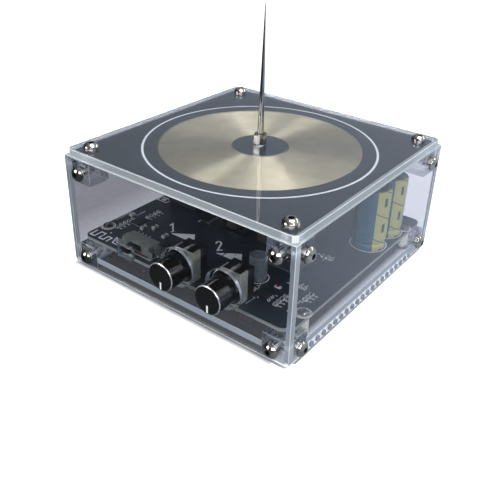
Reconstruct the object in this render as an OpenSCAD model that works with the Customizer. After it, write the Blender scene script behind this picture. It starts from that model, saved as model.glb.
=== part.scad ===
// Desktop resonant transformer: a flat printed coil under a clear lid, with a
// discharge needle, over a driver board in a clear acrylic case.
// Millimetres, +Z up. The case stands on Z = 0, and the knobs face -Y.

/* [Case] */
// Outside width and depth of the square case
case_w = 124; // [122:1:130]
// Height of the lid's top face above the table
case_h = 59; // [57:1:68]
// Thickness of the acrylic sheet
sheet_t = 3; // [2.5:0.5:3.5]
// How far the lid stands in from the panels' outside, each side
lid_inset = 0.8; // [0:0.1:1.5]
// Corner radius of the lid, and of the panels' lower corners
sheet_corner_r = 3; // [2:0.5:4]
// Height of the floor plate's underside above the table
floor_z = 4; // [3.6:0.1:5]
// Edge of the clear blocks that join the corners
block_s = 11; // [10:0.5:12]

/* [Vents] */
// Slots in each side panel
vent_count = 20; // [10:1:22]
// Distance from slot to slot
vent_pitch = 4.7; // [4:0.1:4.9]
// Width of a slot
vent_w = 2; // [1.5:0.1:2.4]
// Length of a slot, up and down
vent_l = 2.8; // [2.4:0.1:2.9]

/* [Case screws] */
// Shank diameter of the case screws
screw_d = 3; // [2.5:0.5:3]
// Head diameter of the case screws
screw_head_d = 6.8; // [5.4:0.2:6.8]
// Head height of the case screws
screw_head_h = 2.2; // [1.8:0.1:2.6]
// How deep a panel screw bites into its block
screw_bite = 3; // [2.4:0.1:3.1]

/* [Coil] */
// Thickness of the coil board
coil_board_t = 1.6; // [1.2:0.1:2]
// Gap between the coil board and the panels
coil_board_gap = 0.2; // [0.1:0.1:0.5]
// Distance from the panels' inside to the outer edge of the primary under the board
primary_margin = 4.6; // [4:0.2:6]
// Distance from the primary's outer edge to the printed secondary's
coil_margin = 7.8; // [7:0.2:9]
// Radius of the bare centre of the secondary
coil_bore_r = 13; // [12:0.2:14]
// Loops drawn in the secondary
coil_loops = 24; // [20:1:24]
// Share of the secondary's pitch that its track fills
coil_fill = 0.66; // [0.6:0.01:0.68]
// Thickness of the printed tracks
track_t = 0.3; // [0.2:0.05:0.4]
// Loops of the primary
primary_loops = 3; // [2:1:3]
// Width of the primary's track
primary_track_w = 1.3; // [1:0.1:1.4]

/* [Needle] */
// Height of the needle's point above the table
needle_tip_z = 121; // [110:0.5:140]
// Diameter of the needle at its foot
needle_d = 3; // [2.6:0.1:3.2]
// Diameter of the needle's blunted point
needle_tip_d = 0.3; // [0.2:0.1:0.6]
// Width across the flats of the needle's nut
nut_flats = 5.6; // [5.2:0.1:6.5]
// Height of the needle's nut
nut_h = 4.8; // [3:0.1:6]

/* [Driver board] */
// Gap between the driver board and the panels
board_gap = 1.5; // [1.2:0.1:2]
// Thickness of the driver board
board_t = 1.6; // [1.2:0.1:2]
// Corner radius of the driver board
board_corner_r = 3.5; // [2:0.5:4]
// Length of the nylon standoffs
standoff_h = 7; // [6.2:0.2:9]
// Width across the flats of a standoff
standoff_flats = 4.5; // [4:0.1:4.8]
// Distance of the standoffs' axes from the side panels
standoff_inset = 4.2; // [3.6:0.1:4.6]
// Gap between a standoff and the corner block beside it
standoff_gap = 0.4; // [0.3:0.1:1]
// Shank diameter of the board screws
board_screw_d = 2.5; // [2:0.1:2.5]

/* [Knobs] */
// Place of the first knob across the front
knob_1_x = 3.9; // [2:0.1:6]
// Distance between the knobs
knob_pitch = 25; // [22:0.5:27]
// Diameter of a knob's grip
knob_d = 13; // [12:0.2:14]
// Diameter of a knob's skirt
skirt_d = 16; // [15:0.2:17]
// Thickness of the skirt
skirt_t = 1.4; // [1.2:0.1:2.4]
// Overall length of a knob
knob_l = 13.5; // [12.5:0.1:17]
// Gap between a knob's back and the driver board's edge
knob_gap = 0.2; // [0.2:0.1:0.6]
// Height of the shafts above the driver board
shaft_h = 7.7; // [7.4:0.1:8.2]
// Diameter of the shafts
shaft_d = 6; // [5.6:0.1:6.2]
// Gap all round a knob in its hole
knob_hole_gap = 0.9; // [0.5:0.1:1.2]

/* [Potentiometers] */
// Width of a potentiometer
pot_w = 10.4; // [9.6:0.2:12]
// Height of a potentiometer above the board
pot_h = 14.2; // [13.6:0.2:15.4]
// Depth of the metal cover
pot_cover_l = 5; // [4:0.2:6]
// Depth of the black body, cover included
pot_l = 9.2; // [8:0.2:11]
// Sheet thickness of the cover
pot_cover_t = 0.8; // [0.5:0.1:1]
// How far the cover's front stands back from the board's edge
pot_setback = 1.9; // [1.4:0.1:2.5]

/* [Switch] */
// Place of the slide switch across the front
switch_x = -27; // [-30:0.5:-24]
// Length of the switch
switch_l = 16.8; // [15:0.2:18]
// Depth of the switch
switch_d = 7.5; // [6.5:0.1:8]
// Height of the switch above the board
switch_h = 5.4; // [5:0.1:6]
// How far the switch stands back from the board's edge
switch_setback = 3.5; // [2.5:0.1:4]
// Travel of the lever
switch_travel = 3; // [2:0.5:4]
// Width of the lever
lever_w = 4; // [3:0.2:4.4]
// Height of the lever
lever_h = 2.8; // [2.4:0.1:3]
// How far the lever stands into the front panel
lever_reach = 1.5; // [1:0.1:2.5]

/* [Capacitors] */
// Diameter of the two supply capacitors
big_cap_d = 15.8; // [14:0.2:16]
// Length of the supply capacitors
big_cap_l = 29.8; // [25:0.2:34]
// Distance of their axes from the right panel
big_cap_inset = 11.1; // [11.1:0.1:13]
// Distance of the back one's axis from the back panel
big_cap_back = 22; // [22:0.5:28]
// Distance between the two
big_cap_pitch = 16.2; // [16.2:0.1:18]
// Diameter of the small capacitor
small_cap_d = 8; // [6.3:0.1:10]
// Length of the small capacitor
small_cap_l = 11.5; // [10:0.1:14]
// How far the small capacitor's axis stands left of the second knob's
small_cap_left = 1.4; // [0:0.2:4]
// Distance of its axis from the driver board's front edge
small_cap_front = 22.9; // [17:0.1:26]

/* [Coil feed] */
// Width across the flats of the feed posts
post_flats = 5; // [4:0.5:5.5]

/* [Driver parts] */
// Length, width and height of a film capacitor
film_l = 18; // [13:1:18]
film_w = 8; // [5:0.5:9]
film_h = 15; // [10:0.5:18]
// Width and height of the filter choke
choke_w = 12.5; // [10:0.5:14]
choke_h = 7.2; // [5:0.2:10]
// Width, depth and height of the gate transformer
gate_w = 16; // [12:0.5:18]
gate_d = 12; // [10:0.5:14]
gate_h = 10; // [8:0.5:14]
// Length, width and height of a driver chip
chip_l = 5; // [4.8:0.1:5.2]
chip_w = 4; // [3.8:0.1:4.2]
chip_h = 1.6; // [1.2:0.1:2]
// Length of a small surface part
part_l = 2; // [1.6:0.1:2.1]
// Length of a larger ceramic part
ceramic_l = 3.2; // [2.5:0.1:3.4]

/* [Supply socket] */
// Place of the supply socket across the back
socket_x = -20; // [-24:0.5:-18]
// Width of the socket
socket_w = 9; // [8.6:0.1:10]
// Height of the socket
socket_h = 11; // [10:0.1:11.4]
// Length of the socket
socket_l = 14.2; // [13:0.1:16]
// Bore of the socket
socket_bore_d = 6.2; // [5.8:0.1:6.4]
// Diameter of the socket's centre pin
socket_pin_d = 2; // [1.6:0.1:2.6]

/* [Cooling] */
// Width of the heat sink
sink_w = 40; // [34:1:44]
// Height of the heat sink
sink_h = 25; // [20:1:30]
// Depth of the heat sink, fins included
sink_l = 20; // [16:1:24]
// Thickness of the plate that carries the fins
sink_plate_t = 4; // [3:0.5:5]
// Fins on the plate
sink_fins = 9; // [6:1:10]
// Thickness of a fin
sink_fin_t = 1.6; // [1.2:0.1:2]

/* [Hidden] */
$fn = 48;

// Small part of a millimetre that keeps a cutter clear of the face it cuts
over = 0.5;
// Clearance of a screw in its hole, on the radius
screw_fit = 0.05;
// Clearance of a screw through a sheet, on the radius
sheet_fit = 0.15;
// Running clearance of a shaft, on the radius
shaft_fit = 0.05;

wall_y = case_w / 2;               // outside of the panels
inner = wall_y - sheet_t;          // inside of the panels
wall_h = case_h - sheet_t;         // height of the panels, under the lid
block_c = inner - block_s / 2;     // centre of a corner block, across
coil_z = wall_h - coil_board_t;    // underside of the coil board
upper_z = coil_z - block_s / 2;    // centre of an upper block
lower_z = floor_z + 2;             // centre of a lower block
tap_extra = 0.6;                   // drilled past the end of a screw
tap_r = screw_d / 2 + screw_fit;
floor_top = floor_z + sheet_t;
board_z = floor_top + standoff_h;  // underside of the driver board
board_top = board_z + board_t;
board_half = inner - board_gap;
standoff_x = inner - standoff_inset;
standoff_round = standoff_flats / cos(30);
standoff_y = inner - block_s - standoff_gap - standoff_round / 2;
board_tap_r = board_screw_d / 2 + screw_fit;
board_bite = 2.8;
board_head_d = 4.7;
board_head_h = 1.7;

shaft_z = board_top + shaft_h;
knob_x = [knob_1_x, knob_1_x + knob_pitch];
pot_front = -board_half + pot_setback;
knob_back = -board_half - knob_gap;
knob_front = knob_back - knob_l;
shaft_end = knob_back - 9;
shaft_start = pot_front + pot_l - 2.5;
// The point halfway between the knobs' faces and the back screws' heads is
// the middle of the whole object, so the frame's origin lies there.
frame_y = -(knob_front + wall_y + screw_head_h) / 2;

// Corner signs, anticlockwise from the back right
corners = [[1, 1], [-1, 1], [-1, -1], [1, -1]];
primary_r = inner - primary_margin;
coil_r = primary_r - coil_margin;
coil_pitch = (coil_r - coil_bore_r) / (coil_loops + coil_fill);
coil_track_w = coil_fill * coil_pitch;
// Posts that feed the coil, outside the primary: two for it and one for the secondary
post_r = primary_r + post_flats / sqrt(3) + 1;
post_at = [for (a = [140.6, 129.4, 50.6]) post_r * [cos(a), sin(a)]];
post_pin_d = post_flats / 2 + 0.1;

// Moves a piece from the case's own middle to the frame's origin
module in_frame() {
    translate([0, frame_y, 0]) children();
}

// ---- Shared shapes ----

// Rectangle w by h with four round corners, its middle at the origin
module round_rect(w, h, r) {
    square([w, h - 2 * r], center = true);
    square([w - 2 * r, h], center = true);
    for (s = corners) translate([s[0] * (w / 2 - r), s[1] * (h / 2 - r)]) circle(r);
}

// Upright panel w wide from the table up, its two lower corners rounded
module panel_outline(w) {
    r = sheet_corner_r;
    translate([-w / 2, r]) square([w, wall_h - r]);
    translate([-w / 2 + r, 0]) square([w - 2 * r, wall_h]);
    for (s = [-1, 1]) translate([s * (w / 2 - r), r]) circle(r);
}

// Holes for a panel's four screws
module panel_screw_holes() {
    for (s = [-1, 1], z = [lower_z, upper_z]) translate([s * block_c, z]) circle(screw_d / 2 + sheet_fit);
}

// Holes over the standoffs
module board_screw_holes() {
    for (s = corners)
        translate([s[0] * standoff_x, s[1] * standoff_y]) circle(board_screw_d / 2 + sheet_fit);
}

// Upright slot
module vent_slot() {
    square([vent_w, vent_l - vent_w], center = true);
    for (s = [-1, 1]) translate([0, s * (vent_l - vent_w) / 2]) circle(vent_w / 2);
}

// Domed screw with a hexagon socket. Its head sits on Z = 0, shank downwards
module dome_screw(length) {
    rim_h = 0.35 * screw_head_h;
    head_r = screw_head_d / 2;
    flat_r = 0.27 * screw_head_d;
    // The dome's sphere meets the rim and the flat ring round the socket
    dome_z = (flat_r ^ 2 + screw_head_h ^ 2 - head_r ^ 2 - rim_h ^ 2) / (2 * (screw_head_h - rim_h));
    dome_r = norm([head_r, rim_h - dome_z]);
    difference() {
        union() {
            translate([0, 0, -length]) cylinder(h = length + rim_h / 2, d = screw_d);
            cylinder(h = rim_h, r = head_r);
            intersection() {
                translate([0, 0, dome_z]) sphere(dome_r);
                translate([0, 0, rim_h / 2]) cylinder(h = screw_head_h - rim_h / 2, r = head_r);
            }
        }
        translate([0, 0, 0.45 * screw_head_h]) cylinder(h = screw_head_h, d = 0.4 * screw_head_d, $fn = 6);
    }
}

// Four case screws through a side, which faces +Y before it is turned
module side_screws(turn) {
    color("silver")
        rotate([0, 0, turn])
            for (s = [-1, 1], z = [lower_z, upper_z])
                translate([s * block_c, wall_y, z]) rotate([-90, 0, 0]) dome_screw(sheet_t + screw_bite);
}

// Hexagonal prism given by its width across the flats
module hex(flats, h) {
    cylinder(h = h, d = flats / cos(30), $fn = 6);
}

// ---- Case ----

module top_plate() in_frame() {
    side = case_w - 2 * lid_inset;
    color([0.85, 0.92, 0.95, 0.35])
        translate([0, 0, wall_h])
            linear_extrude(sheet_t)
                difference() {
                    round_rect(side, side, sheet_corner_r);
                    for (s = corners) translate(s * block_c) circle(screw_d / 2 + sheet_fit);
                    circle(stud_d / 2 + sheet_fit);
                }
}

module front_panel() in_frame() {
    lever_z = board_top + lever_up;
    color([0.85, 0.92, 0.95, 0.35])
        translate([0, -inner, 0])
            rotate([90, 0, 0])
                linear_extrude(sheet_t)
                    difference() {
                        panel_outline(case_w);
                        panel_screw_holes();
                        for (x = knob_x) translate([x, shaft_z]) circle(skirt_d / 2 + knob_hole_gap);
                        translate([switch_x, lever_z])
                            round_rect(lever_w + switch_travel + 2 * lever_slot_gap,
                                       lever_h + 2 * lever_slot_gap, lever_slot_gap);
                    }
}

module back_panel() in_frame() {
    color([0.85, 0.92, 0.95, 0.35])
        translate([0, wall_y, 0])
            rotate([90, 0, 0])
                linear_extrude(sheet_t)
                    difference() {
                        panel_outline(case_w);
                        panel_screw_holes();
                        translate([socket_x, board_top + socket_h / 2])
                            square([socket_w + 2 * socket_gap, socket_h + 2 * socket_gap], center = true);
                    }
}

// Panel between the front and the back, with its row of vents
module side_panel() {
    linear_extrude(sheet_t)
        difference() {
            panel_outline(2 * inner);
            panel_screw_holes();
            for (i = [0 : vent_count - 1])
                translate([(i - (vent_count - 1) / 2) * vent_pitch, floor_z - vent_l / 2 - 0.2]) vent_slot();
        }
}

module left_panel() in_frame() {
    color([0.85, 0.92, 0.95, 0.35])
        translate([-wall_y, 0, 0]) rotate([90, 0, 90]) side_panel();
}

module right_panel() in_frame() {
    color([0.85, 0.92, 0.95, 0.35])
        translate([inner, 0, 0]) rotate([90, 0, 90]) side_panel();
}

// Floor between the four panels, notched round the lower corner blocks
module floor_plate() in_frame() {
    notch = block_s + 0.1;
    color([0.85, 0.92, 0.95, 0.35])
        translate([0, 0, floor_z])
            linear_extrude(sheet_t)
                difference() {
                    square(2 * inner, center = true);
                    for (s = corners)
                        translate(s * (inner - notch / 2 + over / 2)) square(notch + over, center = true);
                    board_screw_holes();
                }
}

// Block tapped from both outer sides, and from above where top_tap says so
module corner_block(sx, sy, z, top_tap) {
    depth = screw_bite + tap_extra;
    difference() {
        translate([sx * block_c, sy * block_c, z]) cube(block_s, center = true);
        translate([sx * (inner - depth), sy * block_c, z])
            rotate([0, sx * 90, 0]) cylinder(h = depth + over, r = tap_r);
        translate([sx * block_c, sy * (inner - depth), z])
            rotate([-sy * 90, 0, 0]) cylinder(h = depth + over, r = tap_r);
        if (top_tap)
            translate([sx * block_c, sy * block_c, z + block_s / 2 - depth])
                cylinder(h = depth + over, r = tap_r);
    }
}

module upper_corner_blocks() in_frame() {
    color([0.8, 0.9, 0.95, 0.4])
        for (s = corners) corner_block(s[0], s[1], upper_z, true);
}

module lower_corner_blocks() in_frame() {
    color([0.8, 0.9, 0.95, 0.4])
        for (s = corners) corner_block(s[0], s[1], lower_z, false);
}

module top_screws() in_frame() {
    color("silver")
        for (s = corners)
            translate([s[0] * block_c, s[1] * block_c, case_h])
                dome_screw(sheet_t + coil_board_t + screw_bite);
}

module front_screws() in_frame() side_screws(180);
module back_screws() in_frame() side_screws(0);
module left_screws() in_frame() side_screws(90);
module right_screws() in_frame() side_screws(-90);

// ---- Coil and needle ----

stud_d = 3;
// Depth of the opening that the secondary lies in
recess = track_t + 0.05;

module coil_board() in_frame() {
    side = 2 * (inner - coil_board_gap);
    color([0.25, 0.28, 0.32])
        translate([0, 0, coil_z])
            difference() {
                linear_extrude(coil_board_t)
                    difference() {
                        round_rect(side, side, 1.5);
                        for (s = corners) translate(s * block_c) circle(screw_d / 2 + sheet_fit);
                        circle(stud_d / 2 + screw_fit);
                    }
                // Shallow opening that the secondary's track lies in
                translate([0, 0, coil_board_t - recess])
                    linear_extrude(recess + over)
                        difference() {
                            circle(coil_r + 0.2);
                            circle(coil_bore_r - 0.2);
                        }
            }
}

rings_per_loop = 24;
// Centre of a flat spiral's track at ring i, going in from radius r by pitch p a loop
function spiral_point(i, r, p) =
    let (a = i * 360 / rings_per_loop, q = r - p * i / rings_per_loop) [q * cos(a), q * sin(a)];

// Least distance between two loops of a spiral's centre line, less the track's width
function spiral_gap(n, r, p, w) = min([
    for (i = [0 : n - rings_per_loop])
        for (j = [i + rings_per_loop - 2 : min(n, i + rings_per_loop + 2)])
            norm(spiral_point(i, r, p) - spiral_point(j, r, p))
]) - w;

// Track with six sides, w wide and h thick, its underside on Z = 0, as one unbroken tube
module spiral_track(loops, r, p, w, h) {
    n = loops * rings_per_loop;
    bevel = 0.3 * h;
    section = [[-w / 2, h / 2], [-w / 2 + bevel, 0], [w / 2 - bevel, 0],
               [w / 2, h / 2], [w / 2 - bevel, h], [-w / 2 + bevel, h]];
    points = [
        for (i = [0 : n])
            let (a = i * 360 / rings_per_loop, q = r - p * i / rings_per_loop)
                for (s = section) [(q + s[0]) * cos(a), (q + s[0]) * sin(a), s[1]]
    ];
    sides = [
        for (i = [0 : n - 1])
            for (k = [0 : 5])
                let (a = 6 * i + k, b = 6 * i + (k + 1) % 6)
                    each [[a, b, b + 6], [a, b + 6, a + 6]]
    ];
    first = [for (k = [1 : 4]) [0, k + 1, k]];
    last = [for (k = [1 : 4]) [6 * n, 6 * n + k, 6 * n + k + 1]];
    polyhedron(points = points, faces = concat(sides, first, last), convexity = 10);
}

module secondary_coil() in_frame() {
    r = coil_r - coil_track_w / 2;
    rings = coil_loops * rings_per_loop;
    echo(secondary_least_gap_mm = spiral_gap(rings, r, coil_pitch, coil_track_w));
    color([0.82, 0.78, 0.6])
        translate([0, 0, wall_h - recess])
            spiral_track(coil_loops, r, coil_pitch, coil_track_w, track_t);
}

primary_pitch = primary_track_w + 0.6;
module primary_coil() in_frame() {
    r = primary_r - primary_track_w / 2;
    rings = primary_loops * rings_per_loop;
    echo(primary_least_gap_mm = spiral_gap(rings, r, primary_pitch, primary_track_w));
    color([0.8, 0.5, 0.25])
        translate([0, 0, coil_z - track_t])
            spiral_track(primary_loops, r, primary_pitch, primary_track_w, track_t);
}

// Brass posts from board to board, with a pin soldered into each
module feed_posts() in_frame() {
    color([0.8, 0.65, 0.3])
        for (p = post_at)
            translate([p[0], p[1], 0]) {
                translate([0, 0, board_top]) hex(post_flats, coil_z - board_top);
                translate([0, 0, board_z]) cylinder(h = board_t + over, d = post_pin_d);
            }
}

needle_foot_z = case_h + 0.7 * nut_h;

// Flanged stud soldered under the coil board's centre, up through the lid
module needle_stud() in_frame() {
    color([0.8, 0.65, 0.3]) {
        translate([0, 0, coil_z - 1.2]) cylinder(h = 1.2, d = 8);
        translate([0, 0, coil_z - over]) cylinder(h = needle_foot_z - 0.3 - coil_z + over, d = stud_d);
    }
}

module needle_nut() in_frame() {
    color("silver")
        translate([0, 0, case_h])
            difference() {
                intersection() {
                    hex(nut_flats, nut_h);
                    // Turned bevel on the upper edge
                    union() {
                        cylinder(h = nut_h - 0.5, d = nut_flats * 1.2);
                        translate([0, 0, nut_h - 0.5])
                            cylinder(h = 0.5, d1 = nut_flats * 1.2, d2 = nut_flats * 0.98);
                    }
                }
                translate([0, 0, -over])
                    cylinder(h = nut_h + 2 * over, d = max(stud_d, needle_d) + 2 * screw_fit);
            }
}

module discharge_needle() in_frame() {
    straight = case_h + nut_h + 0.6;
    color("silver") {
        translate([0, 0, needle_foot_z]) cylinder(h = straight - needle_foot_z, d = needle_d);
        translate([0, 0, straight]) cylinder(h = needle_tip_z - straight, d1 = needle_d, d2 = needle_tip_d);
    }
}

// ---- Driver board ----

module driver_board() in_frame() {
    color([0.15, 0.18, 0.22])
        translate([0, 0, board_z])
            linear_extrude(board_t)
                difference() {
                    round_rect(2 * board_half, 2 * board_half, board_corner_r);
                    board_screw_holes();
                    for (p = post_at) translate(p) circle(post_pin_d / 2 + screw_fit);
                }
}

module board_standoffs() in_frame() {
    color([0.96, 0.95, 0.86])
        for (s = corners)
            translate([s[0] * standoff_x, s[1] * standoff_y, floor_top])
                difference() {
                    rotate([0, 0, 30]) hex(standoff_flats, standoff_h);
                    translate([0, 0, -over]) cylinder(h = standoff_h + 2 * over, r = board_tap_r);
                }
}

// Pan-headed screw with a cross recess. Its head sits on Z = 0, shank downwards
module pan_screw(length) {
    dome_r = 3.6;
    difference() {
        union() {
            translate([0, 0, -length]) cylinder(h = length + 0.3, d = board_screw_d);
            intersection() {
                translate([0, 0, board_head_h - dome_r]) sphere(dome_r);
                cylinder(h = board_head_h, d = board_head_d);
            }
        }
        for (a = [0, 90])
            rotate([0, 0, a]) translate([0, 0, board_head_h]) cube([2.4, 0.6, 1.6], center = true);
    }
}

module board_screws() in_frame() {
    color("silver")
        for (s = corners)
            translate([s[0] * standoff_x, s[1] * standoff_y, board_top]) pan_screw(board_t + board_bite);
}

module floor_screws() in_frame() {
    color("silver")
        for (s = corners)
            translate([s[0] * standoff_x, s[1] * standoff_y, floor_z])
                mirror([0, 0, 1]) pan_screw(sheet_t + board_bite);
}

// Can with a crimped neck over its bung, in a printed sleeve
module can_capacitor(d, l, neck_z) {
    r = d / 2;
    turn = 0.05 * d;
    rotate_extrude()
        polygon([[0, 0], [r - turn, 0], [r, turn], [r, neck_z - turn], [r - turn, neck_z],
                 [r, neck_z + turn], [r, l - turn], [r - turn, l],
                 [r - 3 * turn, l], [r - 3.4 * turn, l - 0.4], [0, l - 0.4]]);
}

module supply_capacitor(y) {
    color([0.28, 0.42, 0.47])
        translate([inner - big_cap_inset, y, board_top]) can_capacitor(big_cap_d, big_cap_l, 3.4);
}

module supply_capacitor_front() in_frame() supply_capacitor(inner - big_cap_back - big_cap_pitch);
module supply_capacitor_back() in_frame() supply_capacitor(inner - big_cap_back);

module small_capacitor() in_frame() {
    color([0.3, 0.31, 0.32])
        translate([knob_x[1] - small_cap_left, small_cap_front - board_half, board_top])
            can_capacitor(small_cap_d, small_cap_l, 2.2);
}

// Boxed film capacitors of the resonant stage, on short ribs
module film_capacitors() in_frame() {
    rib = 0.4;
    color([0.16, 0.17, 0.18])
        for (i = [0, 1])
            translate([-board_half + 7.5, -film_w + i * (film_w + 3), board_top]) {
                translate([0, 0, rib]) cube([film_l, film_w, film_h - rib]);
                for (x = [1, film_l - 3]) translate([x, 1, 0]) cube([2, film_w - 2, rib + over]);
            }
}

// Drum core in a square shield, with its round top showing
module filter_choke() in_frame() {
    color([0.2, 0.2, 0.2])
        translate([14, -4, board_top]) {
            linear_extrude(0.9 * choke_h) round_rect(choke_w, choke_w, 0.16 * choke_w);
            cylinder(h = choke_h, d = 0.77 * choke_w);
        }
}

// Potted transformer that drives the transistors' gates
module gate_transformer() in_frame() {
    foot = 0.12 * gate_h;
    color([0.12, 0.12, 0.12])
        translate([-6, -7, board_top]) {
            translate([-gate_w / 2, -gate_d / 2, 0]) cube([gate_w, gate_d, foot]);
            translate([-gate_w / 2 + 1, -gate_d / 2 + 1, foot / 2])
                cube([gate_w - 2, gate_d - 2, gate_h - foot / 2]);
        }
}

sink_x = -8;
sink_y = 14;
tab_hole_z = 17.5;
module heat_sink() in_frame() {
    gap = (sink_w - sink_fin_t) / (sink_fins - 1);
    color([0.55, 0.57, 0.6])
        translate([sink_x - sink_w / 2, sink_y, board_top])
            difference() {
                union() {
                    cube([sink_w, sink_plate_t, sink_h]);
                    for (i = [0 : sink_fins - 1])
                        translate([i * gap, 1, 0]) cube([sink_fin_t, sink_l - 1, sink_h]);
                }
                for (s = [-1, 1])
                    translate([sink_w / 2 + s * sink_w / 4, -over, tab_hole_z])
                        rotate([-90, 0, 0]) cylinder(h = sink_plate_t - 1 + over, r = tap_r);
            }
}

// Flat-backed transistors screwed to the heat sink, legs down to the board
module power_transistors() in_frame() {
    tab_t = 1.3;
    color([0.15, 0.15, 0.16])
        for (s = [-1, 1])
            translate([sink_x + s * sink_w / 4, sink_y, board_top])
                difference() {
                    union() {
                        translate([-5, -tab_t, 4.8]) cube([10, tab_t, 15.6]);
                        translate([-5, -4.5, 4.8]) cube([10, 4.5 - tab_t + 0.1, 9.2]);
                        for (x = [-2.54, 0, 2.54]) translate([x - 0.4, -2.8, 0]) cube([0.8, 0.5, 5]);
                    }
                    translate([0, -tab_t - over, tab_hole_z])
                        rotate([-90, 0, 0]) cylinder(h = tab_t + 2 * over, r = screw_d / 2 + sheet_fit);
                }
}

module transistor_screws() in_frame() {
    color("silver")
        for (s = [-1, 1])
            translate([sink_x + s * sink_w / 4, sink_y - 1.3, board_top + tab_hole_z])
                rotate([90, 0, 0]) dome_screw(1.3 + 2.4);
}

// Flat chip with gull-wing legs along two sides
module small_chip(l, legs) {
    translate([-l / 2, -chip_w / 2, 0.15]) cube([l, chip_w, chip_h - 0.15]);
    for (s = [-1, 1], i = [0 : legs - 1])
        translate([(i - (legs - 1) / 2) * 1.27, s * (chip_w / 2 + 0.4), 0.15])
            cube([0.4, 1.2, 0.3], center = true);
}

// Origins that groups of parts keep to: the board's two front corners, and the
// foot of the second knob's axis on the board's front edge
left_corner = [-board_half, -board_half, board_top];
right_corner = [board_half, -board_half, board_top];
knob_foot = [knob_x[1], -board_half, board_top];

module driver_chips() in_frame() {
    color([0.1, 0.1, 0.1]) {
        translate(knob_foot + [9.9, 13.2, 0]) rotate([0, 0, 90]) small_chip(chip_l, 4);
        translate(left_corner + [38.5, 16.3, 0]) small_chip(chip_l, 4);
        translate([-22, -8, board_top]) rotate([0, 0, 90]) small_chip(2 * chip_l, 8);
    }
}

// Flat square chip beside its crystal
module radio_chip() in_frame() {
    color([0.12, 0.12, 0.13])
        translate(left_corner) {
            translate([8.5, 21.5, 0]) cube([6, 6, 0.9]);
            translate([2.3, 26.1, 0]) cube([2.5, 3.2, 0.8]);
        }
}

// Block with solder ends, l long, its long side turned by an angle from X
module surface_part(place, turn, l) {
    translate(place) rotate([0, 0, turn]) translate([-l / 2, -0.3 * l, 0]) cube([l, 0.6 * l, 0.35 * l]);
}

// Places of the small parts, each with its turn
small_parts = [
    for (i = [0 : 4]) [left_corner + [6.9, 14.5 + 2.6 * i, 0], 0],
    for (i = [0 : 3]) [left_corner + [11.3, 30.5 + 2.6 * i, 0], 0],
    for (i = [0 : 3]) [left_corner + [18 + 2.4 * i, 15.5, 0], 90],
    for (i = [0 : 3]) [knob_foot + [16, 11.5 + 2.4 * i, 0], 0],
    for (i = [0 : 1]) [knob_foot + [2.9, 13.5 + 2.6 * i, 0], 90],
    for (i = [0 : 2]) [right_corner + [-7, 20.5 + 2.4 * i, 0], 0],
    for (i = [0 : 1]) [knob_foot + [14.7 + 2.2 * i, 27, 0], 90],
    for (i = [0 : 2]) [knob_foot + [9.1 + 2.2 * i, 54.1, 0], 90]
];
// Larger ceramic capacitors
ceramic_parts = [
    for (p = [[17.1, 21.9, 0], [21.3, 25.5, 0], [30.7, 22.4, 0]]) [left_corner + p, 90]
];

module surface_parts() in_frame() {
    color([0.6, 0.55, 0.45]) {
        for (p = small_parts) surface_part(p[0], p[1], part_l);
        for (p = ceramic_parts) surface_part(p[0], p[1], ceramic_l);
    }
}

module power_led() in_frame() {
    color([0.9, 0.15, 0.1])
        translate(knob_foot + [9.7, 22.1, 0]) {
            translate([-1.6, -1.3, 0]) cube([3.2, 2.6, 1]);
            translate([0, 0, 0.9]) cylinder(h = 0.5, d = 2);
        }
}

// ---- Supply socket ----

socket_gap = 0.3;
socket_bore_l = 9.5;
socket_bore_z = 6.4;
module supply_socket() in_frame() {
    color([0.1, 0.1, 0.1])
        translate([socket_x, wall_y, board_top])
            difference() {
                union() {
                    translate([-socket_w / 2, -3.4, 0]) cube([socket_w, 3.4, socket_h]);
                    translate([-socket_w / 2, -socket_l, 0]) cube([socket_w, socket_l - 3, socket_bore_z]);
                    translate([0, -3, socket_bore_z])
                        rotate([90, 0, 0]) cylinder(h = socket_l - 3, d = socket_w);
                }
                translate([0, over, socket_bore_z])
                    rotate([90, 0, 0]) cylinder(h = socket_bore_l + over, d = socket_bore_d);
            }
}

// Pin on the socket's floor, where it is riveted
module socket_pin() in_frame() {
    color("silver")
        translate([socket_x, wall_y - socket_bore_l, board_top + socket_bore_z])
            rotate([-90, 0, 0]) cylinder(h = socket_bore_l - 1.2, d = socket_pin_d);
}

// ---- Potentiometers and knobs ----

// Sheet cover: a front and two sides, with small feet on the board
module potentiometer_cover(x) {
    t = pot_cover_t;
    color("silver")
        translate([x, pot_front, board_top])
            difference() {
                union() {
                    translate([-pot_w / 2, 0, 0]) cube([pot_w, pot_cover_l, pot_h]);
                    for (s = [-1, 1]) translate([s * (pot_w / 2 - 1.5) - 1.5, -1.2, 0]) cube([3, 1.4, t]);
                }
                translate([-pot_w / 2 + t, t, -over]) cube([pot_w - 2 * t, pot_cover_l, pot_h + 2 * over]);
                translate([0, -over, shaft_h])
                    rotate([-90, 0, 0]) cylinder(h = t + 2 * over, r = shaft_d / 2 + shaft_fit);
            }
}

module potentiometer_body(x) {
    t = pot_cover_t;
    color([0.08, 0.08, 0.09])
        translate([x, pot_front, board_top])
            difference() {
                union() {
                    translate([-pot_w / 2 + t, t, 0]) cube([pot_w - 2 * t, pot_l - t, pot_h]);
                    translate([-pot_w / 2, pot_cover_l, 0]) cube([pot_w, pot_l - pot_cover_l, pot_h]);
                }
                translate([0, t - over, shaft_h])
                    rotate([-90, 0, 0]) cylinder(h = pot_l - 2 - t + over, r = shaft_d / 2 + shaft_fit);
            }
}

module potentiometer_shaft(x) {
    color("silver")
        translate([x, shaft_start, shaft_z])
            rotate([90, 0, 0]) cylinder(h = shaft_start - shaft_end, d = shaft_d);
}

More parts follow.
